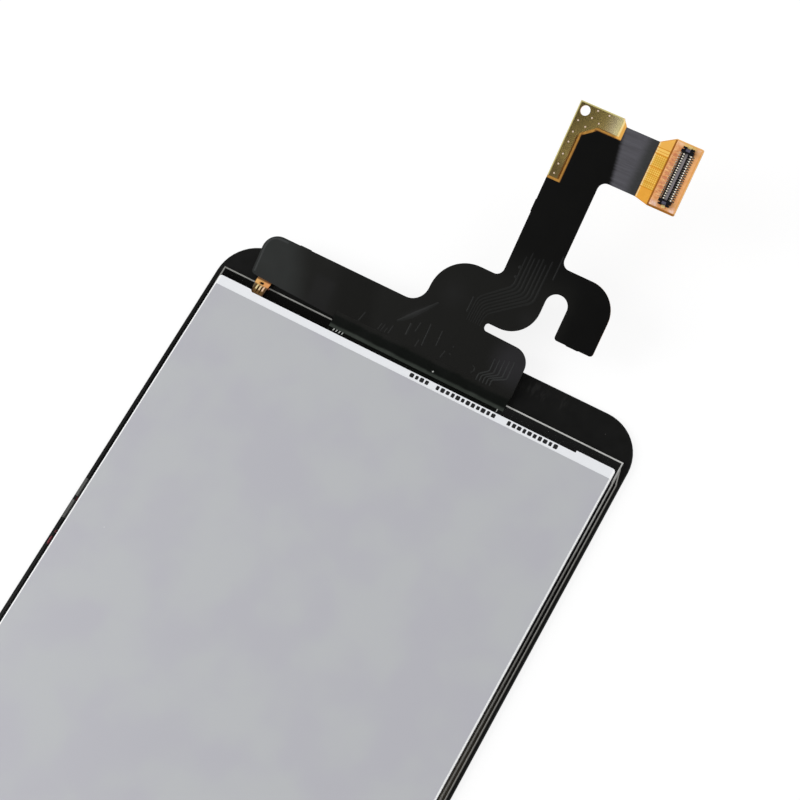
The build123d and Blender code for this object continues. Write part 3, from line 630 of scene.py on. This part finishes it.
def gold_finish():
    """Gold-plated copper: brushed, with a painted reflection brown in the leg and paler toward the arm,
    painted shadow along its inner borders and a painted highlight on its outer edge.
    """
    finish = Finish("gold_plate")
    along = finish.along_run()
    brush = finish.noise(1.8, 2.0)
    stain = finish.noise(2.4, 2.0)
    # Painted reflection: the gold is paler toward the arm and browner in the leg, as the light it mirrors
    # changes.
    pale = finish.rising(finish.x, 11.6, 2.6)
    low = finish.falling(along, 34.4, 3.0)
    base = finish.mix(pale, (220, 196, 122), (255, 241, 196))
    base = finish.mix(low * 0.75, base, (108, 96, 70))
    base = finish.mix(stain * 0.35, base, (190, 150, 80))
    # Painted shadow: dark brown lines along the pad's inner borders.
    inner = finish.rising(finish.x, 7.72, 0.2) * finish.falling(along, 38.6, 0.5)
    lower = finish.falling(along, 40.66, 0.14) * finish.rising(finish.x, 10.0, 0.4)
    base = finish.mix(finish.larger(inner, lower) * 0.75, base, (150, 84, 20))
    metal = finish.surface(base, 0.11 + 0.04 * brush, Metallic=1.0)
    # Painted highlight: the outer edges and the right end are painted paler, as lit edges.
    left_edge = finish.falling(finish.x, RUN_LEFT + 0.16, 0.14)
    top_edge = finish.rising(along, 43.12, 0.14)
    right_end = finish.rising(finish.x, 12.4, 1.2)
    edge = finish.surface((226, 214, 138), 0.35 + 0.1 * brush)
    bright = finish.larger(finish.larger(left_edge, top_edge) * 0.8, right_end * 0.4)
    return finish.done(finish.blend(bright, metal, edge))


def via_finish():
    """Plated holes, matter and paler than the pad round them."""
    finish = Finish("plated_holes")
    base = finish.mix(finish.noise(0.1), (236, 208, 184), (250, 226, 204))
    return finish.coat(base, 0.35, Metallic=0.15)


def stiffener_finish():
    """Pressed polyimide board: brown-amber with a faint weave."""
    finish = Finish("stiffener")
    thread = 0.3142
    weave = finish.waves(finish.x, thread) * finish.waves(finish.y, thread)
    base = finish.mix(finish.noise(1.2, 4.0), (186, 112, 38), (214, 142, 60))
    return finish.coat(base, 0.42, finish.bump(weave, 0.004))


def mask_finish(name, darker=0.0):
    """Salmon solder mask over copper: pinkish corners, brown-red lines to the left, yellow at the top, a
    painted highlight to the right and painted shade between the contacts' feet.
    """
    finish = Finish(name)
    side = finish.x - CONNECTOR[0]
    up = finish.along_run() - CONNECTOR[1]
    cloud = finish.rising(finish.noise(0.55, 4.0), 0.5, 0.36)
    base = finish.mix(cloud, (234, 154, 94), (252, 192, 130))
    # Painted highlight: the mask is lighter to the right of the connector.
    right = finish.rising(side, 1.25, 0.4)
    base = finish.mix(right * 0.6, base, (252, 184, 116))
    lines = finish.rising(finish.waves(up + 0.08 * cloud + 0.1556, 0.6981), 0.5, 0.7)
    lines = lines * finish.between(side, -1.85, -1.1, 0.3) * finish.falling(abs(up - 0.2), 2.9, 0.6)
    base = finish.mix(lines * 0.45, base, (200, 104, 84))
    # Painted shade: dark brown between the contacts' feet, deeper on the left row.
    shade_between_feet = finish.between(abs(side), 0.72, 1.03, 0.1) * finish.falling(abs(up), 3.5, 0.1)
    shade = 0.65 - 0.45 * finish.rising(side, 0.0, 0.1)
    base = finish.mix(shade_between_feet * shade, base, (104, 62, 48))
    corner = finish.rising(abs(up), 4.2, 0.7) * finish.rising(abs(side), 0.95, 0.5)
    flecks = finish.rising(finish.noise(0.3, 2.0), 0.5, 0.2)
    pink = finish.mix(finish.rising(up, 0.0, 1.0), (252, 218, 202), (252, 204, 160))
    base = finish.mix(corner * (0.3 + 0.6 * flecks), base, pink)
    top = finish.rising(up, 4.3, 0.3) * finish.falling(abs(side), 0.9, 0.5)
    base = finish.mix(top * 0.8, base, (244, 210, 124))
    rim = finish.larger(finish.rising(side, 1.66, 0.12), finish.rising(up, 4.7, 0.12))
    base = finish.mix(rim * 0.5, base, (232, 156, 64))
    base = finish.mix(darker, base, (176, 100, 76))
    shine = 0.32 + 0.14 * cloud
    return finish.coat(base, shine, finish.bump(cloud, 0.01), Specular_IOR_Level=0.35)


def housing_finish():
    """Near-black moulded housing with a violet cast, and a grey reflection painted along the lit part of
    the floor of its recess.
    """
    finish = Finish("housing")
    side = finish.x - CONNECTOR[0]
    up = finish.along_run() - CONNECTOR[1]
    # Painted reflection: the recess floor's left part is grey-violet as if it mirrors light; its right part
    # stays dark as shade.
    floor = finish.between(side, -0.3, 0.13, 0.1) * finish.falling(abs(up), 3.55, 0.2)
    floor = floor * finish.falling(finish.over_run(), MASK + HOUSING_FLOOR + 0.05, 0.04)
    grain = finish.noise(0.15)
    drift = finish.noise(1.3, 2.0)
    base = finish.mix(grain, (12, 12, 16), (22, 21, 28))
    grey = finish.mix(drift, (140, 130, 142), (160, 156, 154))
    base = finish.mix(floor, base, grey)
    shine = 0.36 + 0.1 * grain
    return finish.coat(base, shine, finish.bump(grain, 0.004), Specular_IOR_Level=0.2)


def contact_finish():
    """Gold-flashed contacts, bright on their bevels, with painted shade darkening the outer side of the
    left row.
    """
    finish = Finish("contact_plate")
    wear = finish.noise(0.12, 2.0)
    base = finish.mix(wear, (230, 221, 202), (246, 240, 228))
    raised = finish.rising(finish.over_run(), 0.14, 0.08)
    # Painted shade: the raised outer side of the left row is darkened.
    left_outer_shade = raised * finish.falling(finish.x, CONNECTOR[0] - 0.45, 0.06)
    base = finish.mix(left_outer_shade * 0.85, base, (64, 56, 60))
    return finish.coat(base, 0.07 + 0.05 * wear, Metallic=1.0)


def nail_finish():
    """Hold-down nails: dull violet-grey metal on top, yellow where their feet are tinned."""
    finish = Finish("connector_nails")
    foot = finish.rising(abs(finish.along_run() - CONNECTOR[1]), HOUSING_HALF_LENGTH - 0.12, 0.1)
    wear = finish.noise(0.2)
    top = finish.mix(wear, (78, 76, 96), (122, 120, 140))
    base = finish.mix(foot, top, (250, 218, 140))
    return finish.coat(base, 0.3 + 0.1 * wear, Metallic=0.4 * (1 - foot))


def solder_finish():
    """Tinned solder fillets, greyed with brown."""
    finish = Finish("solder")
    wear = finish.noise(0.1, 2.0)
    base = finish.mix(wear, (132, 108, 84), (176, 154, 124))
    return finish.coat(base, 0.24 + 0.1 * wear, Metallic=0.75)


def tip_finish():
    """The contacts' inner tips on the housing's floor: pale on the left row, darkened by painted shade
    under the right wall.
    """
    finish = Finish("contact_tips")
    wear = finish.noise(0.1, 2.0)
    base = finish.mix(wear, (186, 178, 166), (226, 220, 208))
    # Painted shade: the right row's tips are darkened under the right wall.
    base = finish.mix(finish.rising(finish.x, CONNECTOR[0], 0.1), base, (58, 52, 54))
    return finish.coat(base, 0.24 + 0.1 * wear, Metallic=0.2)


def flux_finish():
    """Brown flux beside the light strip's tail."""
    finish = Finish("flux")
    wear = finish.noise(0.25)
    base = finish.mix(wear, (72, 30, 12), (138, 76, 36))
    return finish.coat(base, 0.2 + 0.15 * wear, finish.bump(wear, 0.02))


def plain_finish(name, dark, light, roughness, size=0.3):
    """A plain ink, tape or tinned mark: two close tones in fine noise."""
    finish = Finish(name)
    grain = finish.noise(size, 3.0)
    base = finish.mix(grain, dark, light)
    return finish.coat(base, roughness + 0.1 * grain, finish.bump(grain, 0.003))


def give(material, *names):
    """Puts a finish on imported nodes."""
    for name in names:
        mesh = nodes[name].data
        mesh.materials.clear()
        mesh.materials.append(material)


def finish_nodes():
    give(cover_glass_finish(), "cover_glass")
    give(black_print_finish(), "border_print")
    give(adhesive_finish(), "optical_adhesive")
    give(polarizer_finish(), "front_polarizer", "rear_polarizer")
    give(panel_glass_finish(), "filter_glass", "array_glass")
    give(chip_finish(), "driver_chip")
    give(bond_film_finish(), "chip_bond_film", "flex_bond_film")
    give(resin_finish(), "ledge_resin", "edge_sealant")
    give(tape_finish(), "rim_tape")
    give(moulding_finish(), "backlight_frame")
    give(optic_film_finish(), "upper_prism_sheet", "lower_prism_sheet", "diffuser_sheet")
    give(light_guide_finish(), "light_guide")
    give(reflector_finish(), "reflector_sheet")
    give(emitter_finish(), "light_emitters")
    give(tail_finish(), "light_strip")
    give(circuit_finish(), "main_flex")
    give(black_film_finish("black_film"), "flex_rear_film", "flex_front_film")
    give(gold_finish(), "ground_pad")
    give(via_finish(), "ground_vias")
    give(stiffener_finish(), "pad_stiffener", "plug_stiffener")
    give(mask_finish("solder_mask"), "plug_mask")
    give(housing_finish(), "connector_housing")
    give(contact_finish(), "connector_contacts")
    give(nail_finish(), "connector_nails")


def new_piece(name, bm, material):
    """Makes an object of a mesh built in place, and lets it ride on the assembly."""
    bmesh.ops.recalc_face_normals(bm, faces=bm.faces)
    mesh = bpy.data.meshes.new(name)
    bm.to_mesh(mesh)
    bm.free()
    mesh.materials.append(material)
    piece = bpy.data.objects.new(name, mesh)
    bpy.context.scene.collection.objects.link(piece)
    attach(piece, "root")


def add_loft(bm, rings):
    """Skins a row of rings of points, from one closed end to the other."""
    rings = [[bm.verts.new(point) for point in ring] for ring in rings]
    count = len(rings[0])
    for first, second in zip(rings, rings[1:]):
        for index in range(count):
            after = (index + 1) % count
            bm.faces.new((first[index], first[after], second[after], second[index]))
    bm.faces.new(rings[0])
    bm.faces.new(rings[-1])


def rounded(points, cut, steps=4):
    """A path through the points, with each corner replaced by a short curve."""
    path = [points[0]]
    for before, corner, after in zip(points, points[1:], points[2:]):
        middle = Vector(corner)
        start = middle + (Vector(before) - middle).normalized() * cut
        end = middle + (Vector(after) - middle).normalized() * cut
        for step in range(steps + 1):
            share = step / steps
            path.append(tuple(start.lerp(middle, share).lerp(middle.lerp(end, share), share)))
    path.append(points[-1])
    return path


def add_ridge(bm, points, width, height, base, profile=TRACE_PROFILE):
    """A raised line on the raised circuit: a low closed bar. A point's third value is its own width."""
    last = len(points) - 1
    rings = []
    for index, (x, along, *own_width) in enumerate(points):
        before = points[max(index - 1, 0)]
        after = points[min(index + 1, last)]
        length = hypot(after[0] - before[0], after[1] - before[1])
        reach = (own_width[0] if own_width else width) / length
        side_x = (after[1] - before[1]) * reach
        side_along = (before[0] - after[0]) * reach
        rings.append([
            on_run(x + side_x * across, along + side_along * across, base + height * up)
            for across, up in profile
        ])
    add_loft(bm, rings)


def add_mound(bm, place, center, radii, height, base):
    """A low lump with an oval foot and a round top."""
    turns = [2 * pi * side / MOUND_SIDES for side in range(MOUND_SIDES)]
    rings = []
    for size, rise in MOUND_PROFILE:
        reach_x = radii[0] * size
        reach_y = radii[1] * size
        rings.append([
            place(center[0] + reach_x * cos(turn), center[1] + reach_y * sin(turn), base + height * rise)
            for turn in turns
        ])
    add_loft(bm, rings)


def add_slab(bm, place, corners, low, high, bevel=0.0):
    """A flat slab with the given outline, its top drawn in by the bevel."""
    middle_x = sum(x for x, y in corners) / len(corners)
    middle_y = sum(y for x, y in corners) / len(corners)
    foot = [place(x, y, low) for x, y in corners]
    top = []
    for x, y in corners:
        share = 1 - bevel / hypot(x - middle_x, y - middle_y)
        top.append(place(middle_x + (x - middle_x) * share, middle_y + (y - middle_y) * share, high))
    add_loft(bm, (foot, top))


def dash(center, width, height):
    """The outline of a short printed dash with its corners cut."""
    half = width / 2
    tall = height / 2
    nick = DASH_CUT * min(half, tall)
    outline = (
        (-half, nick - tall), (nick - half, -tall), (half - nick, -tall), (half, nick - tall),
        (half, tall - nick), (half - nick, tall), (nick - half, tall), (-half, tall - nick),
    )
    return [(center[0] + x, center[1] + y) for x, y in outline]


def film_traces():
    """The copper lines that show through the black film as low ridges: stem first, then the tab."""
    stem_lanes = 7
    bm = bmesh.new()
    for lane in range(stem_lanes):
        start = (4.15 + 0.36 * lane, 7.9, 0.14)
        elbow = (4.35 + 0.36 * lane, 11.7 - 0.3 * lane, 0.2)
        knee = (8.5 + 0.62 * lane, 15.2 - 0.15 * lane, 0.36)
        wave = 0.06 * sin(lane * 2.4)
        top = (knee[0] + wave, 19.9 + 0.9 * sin(lane * 1.3) ** 2, 0.22)
        add_ridge(bm, rounded((start, elbow, knee, top), 0.8), 0.3, 0.035, FILM)
    new_piece("stem_traces", bm, black_film_finish("stem_traces", 0.16))

    tab_lanes = 5
    bm = bmesh.new()
    for lane in range(tab_lanes):
        low = 9.2 + 0.55 * lane
        high = 10.5 + 0.72 * lane
        points = ((low, 0.3, 0.2), (low, 1.6, 0.22), (high, 2.6, 0.24), (high, 4.6 + 0.2 * lane, 0.14))
        add_ridge(bm, rounded(points, 0.3), 0.25, 0.03, FILM)
    new_piece("tab_traces", bm, black_film_finish("tab_traces", 0.45))


def film_folds():
    """Creases, bumps and the raised rim of the black film, with a painted sheen a little brighter than the
    rest.
    """
    bm = bmesh.new()
    folds = (
        (((-5.4, 3.3, 0.3), (-3.7, 4.9, 0.8), (-2.3, 6.5, 0.6), (-0.7, 8.4, 0.3)), 0.6, 0.045),
        (((3.72, 9.0), (3.76, 11.4)), 0.26, 0.06),
        (((-0.4, 1.6), (-0.38, 5.1)), 0.24, 0.04),
        (((1.6, 2.5), (1.62, 4.9)), 0.2, 0.03),
        (((-3.3, 2.0), (-3.2, 3.9)), 0.35, 0.035),
        (((-2.2, 3.0), (-1.9, 4.6)), 0.2, 0.03),
        (((13.42, 18.4), (13.46, 22.1)), 0.22, 0.05),
        (((7.9, 2.3), (8.35, 2.1), (8.4, 1.6), (8.0, 1.2)), 0.2, 0.04),
        (((-10.9, 0.8), (-10.4, 2.4)), 0.24, 0.03),
        (((-7.6, 0.9), (-7.35, 2.0)), 0.2, 0.035),
        (((-7.1, 0.9), (-6.8, 2.1)), 0.18, 0.035),
        (((-6.5, 0.9), (-6.3, 1.7)), 0.18, 0.03),
        (((-5.9, 1.0), (-5.6, 2.4)), 0.2, 0.03),
        (((2.9, 1.2), (3.2, 2.4)), 0.2, 0.025),
        (((-1.3, 1.0), (-1.1, 2.2)), 0.2, 0.025),
    )
    for points, width, height in folds:
        path = rounded(points, 0.2, 3) if len(points) > 2 else points
        add_ridge(bm, path, width, height, FILM, FOLD_PROFILE)
    bumps = (((8.2, 18.1), 0.26), ((8.2, 16.6), 0.24), ((4.1, 2.3), 0.16), ((4.1, 3.5), 0.16))
    for center, radius in bumps:
        add_mound(bm, on_run, center, (radius, radius), 0.06, FILM)
    new_piece("film_folds", bm, black_film_finish("film_folds", 0.22))

    bm = bmesh.new()
    rim = rounded(((WING_LEFT + 0.42, 0.6), (WING_LEFT + 0.42, 6.6), (-26.0, 6.68)), 2.1, 8)
    add_ridge(bm, rim, 0.28, 0.02, FILM, FOLD_PROFILE)
    new_piece("film_rim", bm, black_film_finish("film_rim", 0.75))


def film_hem():
    """The wing's foot, where the film reaches a little lower toward the bond."""
    bm = bmesh.new()
    corners = ((-28.9, 0.3), (-28.9, 0.12), (-14.72, -0.4), (-14.72, 0.3))
    bottom = -0.06
    add_slab(bm, on_run, corners, bottom, FILM - 0.004)
    new_piece("film_hem", bm, black_film_finish("film_hem"))


def arm_traces():
    """The arm's copper lines under its glossy film, one more than the contacts of a row."""
    pitch = 0.37
    bm = bmesh.new()
    for line in range(CONTACT_COUNT + 1):
        along = CONNECTOR[1] - 0.55 + (line - CONTACT_COUNT / 2) * pitch
        start = 15.0 + 0.9 * sin(line * 2.3) ** 2 - (along - ARM_MIDDLE) * ARM_SLANT
        width = 0.26 + 0.1 * sin(line * 1.7) ** 2
        add_ridge(bm, ((start, along), (FILM_END - 0.12, along)), width, 0.006, FILM, FOLD_PROFILE)
    new_piece("arm_traces", bm, black_film_finish("arm_traces"))


def amber_pours():
    """Copper pours on the bare amber section, with dark gaps between them."""
    left = FILM_END + 0.05
    right = FLARE_END - 0.1
    thickness = 0.014
    bevel = 0.02
    outlines = [
        ((left, 34.06), (right, 33.66), (right, 35.58), (left, 35.58)),
        ((left, 41.62), (right, 41.62), (right, 43.48), (left, 42.24)),
    ]
    for low, high in HATCHED_POURS + BAND_POURS:
        outlines.append(((left, low), (right, low), (right, high), (left, high)))
    bm = bmesh.new()
    for corners in outlines:
        add_slab(bm, on_run, corners, 0.0, thickness, bevel)
    new_piece("amber_pours", bm, pour_finish())


def contact_places():
    """Where the contacts of a row stand along the circuit."""
    first = CONNECTOR[1] - (CONTACT_COUNT - 1) / 2 * CONTACT_PITCH
    return [first + line * CONTACT_PITCH for line in range(CONTACT_COUNT)]


def mask_traces():
    """Lines under the solder mask, from the contacts' feet to the amber section."""
    outer = CONNECTOR[0] - CONTACT_REACH - 0.12
    bm = bmesh.new()
    for line, along in enumerate(contact_places()):
        reach = 0.55 + 0.3 * sin(line * 2.1) ** 2
        bend = 0.14 * sin(line * 1.3)
        path = ((outer, along), (outer - 0.3, along), (outer - reach, along + bend))
        add_ridge(bm, path, 0.1, 0.012, MASK)
    new_piece("mask_traces", bm, mask_finish("mask_traces", 0.45))


def add_contact_wedges(bm, sections, base):
    """A wedge at every contact: each section is a distance from the middle, a half width and a height."""
    for along in contact_places():
        for side in (-1, 1):
            rings = []
            for reach, half, top in sections:
                x = CONNECTOR[0] + side * reach
                profile = ((-half, 0.0), (-half * 0.6, top), (half * 0.6, top), (half, 0.0))
                rings.append([on_run(x, along + across, base + up) for across, up in profile])
            add_loft(bm, rings)


def foot_solder():
    """A small fillet of solder at the tip of every contact's foot."""
    bm = bmesh.new()
    sections = (
        (CONTACT_REACH, 0.09, 0.05),
        (CONTACT_REACH + 0.06, 0.09, 0.03),
        (CONTACT_REACH + 0.13, 0.07, 0.004),
    )
    add_contact_wedges(bm, sections, MASK)
    new_piece("foot_solder", bm, solder_finish())


def contact_tips():
    """The inner tip of every contact, where it meets the floor of the housing's recess."""
    bm = bmesh.new()
    sections = ((0.3, 0.08, 0.12), (0.24, 0.08, 0.08), (0.14, 0.07, 0.008))
    add_contact_wedges(bm, sections, MASK + HOUSING_FLOOR)
    new_piece("contact_tips", bm, tip_finish())


def frame_marks():
    """Rows of small plain dashes printed on the frame's wide end."""
    row_y = 62.7
    pitch = 0.84
    ink_thickness = 0.008
    bm = bmesh.new()
    for first, count in ((0.65, 4), (5.0, 12), (16.8, 10)):
        for index in range(count):
            width = 0.48 + 0.2 * sin((first + index) * 1.9) ** 2
            height = 0.7 - 0.1 * sin((first + index) * 1.1) ** 2
            outline = dash((first + pitch * index, row_y), width, height)
            add_slab(bm, on_glass, outline, FRAME_REAR, FRAME_REAR + ink_thickness)
    ink = plain_finish("mark_ink", (16, 16, 18), (30, 30, 33), 0.5)
    new_piece("frame_marks", bm, ink)


def ledge_marks():
    """Pale strokes and a nick on the ledge, and one test point in the resin."""
    top = LEDGE_REAR + 0.006
    bm = bmesh.new()
    stroke_count = 4
    for stroke in range(stroke_count):
        x = -13.75 + 0.5 * stroke
        corners = ((x, 63.66), (x + 0.16, 63.66), (x + 0.26, 64.06), (x + 0.1, 64.06))
        add_slab(bm, on_glass, corners, LEDGE_REAR, top)
    add_slab(bm, on_glass, dash((14.15, 63.85), 0.13, 0.42), LEDGE_REAR, top)
    add_mound(bm, on_glass, (2.95, 64.8), (0.15, 0.15), 0.05, LEDGE_REAR + 0.03)
    ink = plain_finish("pale_ink", (150, 152, 148), (206, 208, 204), 0.4)
    new_piece("ledge_marks", bm, ink)


def tail_flux():
    """A drop of brown flux beside the light strip's tail."""
    bm = bmesh.new()
    add_mound(bm, on_glass, (TAIL_X + 1.1, LEDGE_END - 0.2), (0.24, 0.2), 0.08, LEDGE_REAR)
    new_piece("tail_flux", bm, flux_finish())


def border_pads():
    """Two grey foam pads on the left border and small dots of red marking ink beside them."""
    left = -34.92
    right = -34.1
    bm = bmesh.new()
    for low, high in ((20.2, 23.2), (23.9, 26.9)):
        corners = ((left, low), (right, low), (right, high), (left, high))
        add_slab(bm, on_glass, corners, INK_REAR, INK_REAR + 0.05, 0.02)
    grey = plain_finish("grey_pad", (78, 78, 76), (94, 94, 91), 0.6, 0.2)
    new_piece("border_pads", bm, grey)

    dots = (((-34.25, 23.5), (0.2, 0.4)), ((-34.3, 17.9), (0.22, 0.3)), ((-34.4, 16.4), (0.24, 0.75)))
    bm = bmesh.new()
    for center, radii in dots:
        add_mound(bm, on_glass, center, radii, 0.02, INK_REAR)
    red = plain_finish("red_ink", (112, 12, 34), (150, 24, 46), 0.4)
    new_piece("marking_ink", bm, red)


def make_floor():
    """A wide pale floor that shows white and keeps a soft shadow."""
    finish = Finish("floor")
    seen = finish.rays("Camera", "Glossy", "Transmission")
    whitened = 0.76
    matte = finish.surface((243.4, 243.4, 243.4), 0.8)
    white = finish.node("Emission", None, {"Color": (255, 255, 255), "Strength": 1.08}).outputs[0]
    material = finish.done(finish.blend(seen * whitened, matte, white))
    half = 4.0
    drop = 0.0002
    corners = ((-half, -half, -drop), (half, -half, -drop), (half, half, -drop), (-half, half, -drop))
    mesh = bpy.data.meshes.new("floor")
    mesh.from_pydata(corners, [], [(0, 1, 2, 3)])
    mesh.materials.append(material)
    floor = bpy.data.objects.new("floor", mesh)
    bpy.context.scene.collection.objects.link(floor)


def make_world():
    """Pale where the camera looks, and a plain soft light that is dimmer overhead where gloss looks."""
    world = bpy.data.worlds.new("studio")
    bpy.context.scene.world = world
    sky = Shading(world)
    direction = sky.node("SeparateXYZ", None, {"Vector": sky.node("TexCoord").outputs["Generated"]})
    overhead = sky.rising(Amount(sky, direction.outputs["Z"]), 0.385, 0.47)
    around = 0.7
    at_horizon = 1.5
    at_zenith = 0.05
    mirrored = at_horizon + (at_zenith - at_horizon) * overhead
    soft = around + (mirrored - around) * sky.rays("Glossy")
    strength = soft + (1 - soft) * sky.rays("Camera", "Transmission")
    pale = sky.node("Background", None, {"Color": (231.1, 231.1, 231.1), "Strength": strength})
    sky.node("OutputWorld", None, {"Surface": pale.outputs[0]})


def make_lamp(name, place, target, width, height, radiance):
    """A soft rectangular lamp, given in millimetres, that faces its target."""
    data = bpy.data.lights.new(name, "AREA")
    data.shape = "RECTANGLE"
    data.size = width * MM
    data.size_y = height * MM
    data.energy = radiance * pi * data.size * data.size_y
    lamp = bpy.data.objects.new(name, data)
    aim = Vector(target) - Vector(place)
    lamp.rotation_euler = aim.to_track_quat("-Z", "Y").to_euler()
    lamp.location = Vector(place) * MM
    bpy.context.scene.collection.objects.link(lamp)


def make_lamps():
    """A large key lamp, a fill from the far side, and a narrow one that the gold pad mirrors."""
    middle = (0, 30, 0)
    gold_pad = (15, 102, 16)
    make_lamp("key", (-520, -180, 420), middle, 420, 520, 3.6)
    make_lamp("fill", (420, 420, 420), middle, 400, 400, 2.0)
    make_lamp("arm_strip", (-88, -72, 475), gold_pad, 17, 90, 1.5)


def make_camera():
    """The photograph's camera, from its two vanishing points: 0.24 m away, with a long lens."""
    picture_width = 800
    data = bpy.data.cameras.new("camera")
    data.sensor_width = 36.0
    data.lens = 74.25
    # The fit counted each pixel from its middle
    data.shift_x = -0.5 / picture_width
    data.shift_y = 0.5 / picture_width
    data.clip_start = 0.01
    data.clip_end = 20.0
    right = Vector((0.8615, 0.49321, -0.12066))
    down = Vector((0.43302, -0.83775, -0.33266))
    forward = Vector((-0.26516, 0.23434, -0.93529))
    turn = Matrix((right, -down, -forward)).transposed().to_4x4()
    place = Vector((64.83, 2.22, 226.85)) * MM
    camera = bpy.data.objects.new("camera", data)
    camera.matrix_world = Matrix.Translation(place) @ turn
    bpy.context.scene.collection.objects.link(camera)
    bpy.context.scene.camera = camera


bpy.context.scene.view_settings.view_transform = "Standard"
make_camera()
make_world()
make_lamps()
make_floor()
finish_nodes()
film_traces()
film_folds()
film_hem()
arm_traces()
amber_pours()
mask_traces()
foot_solder()
contact_tips()
frame_marks()
ledge_marks()
tail_flux()
border_pads()
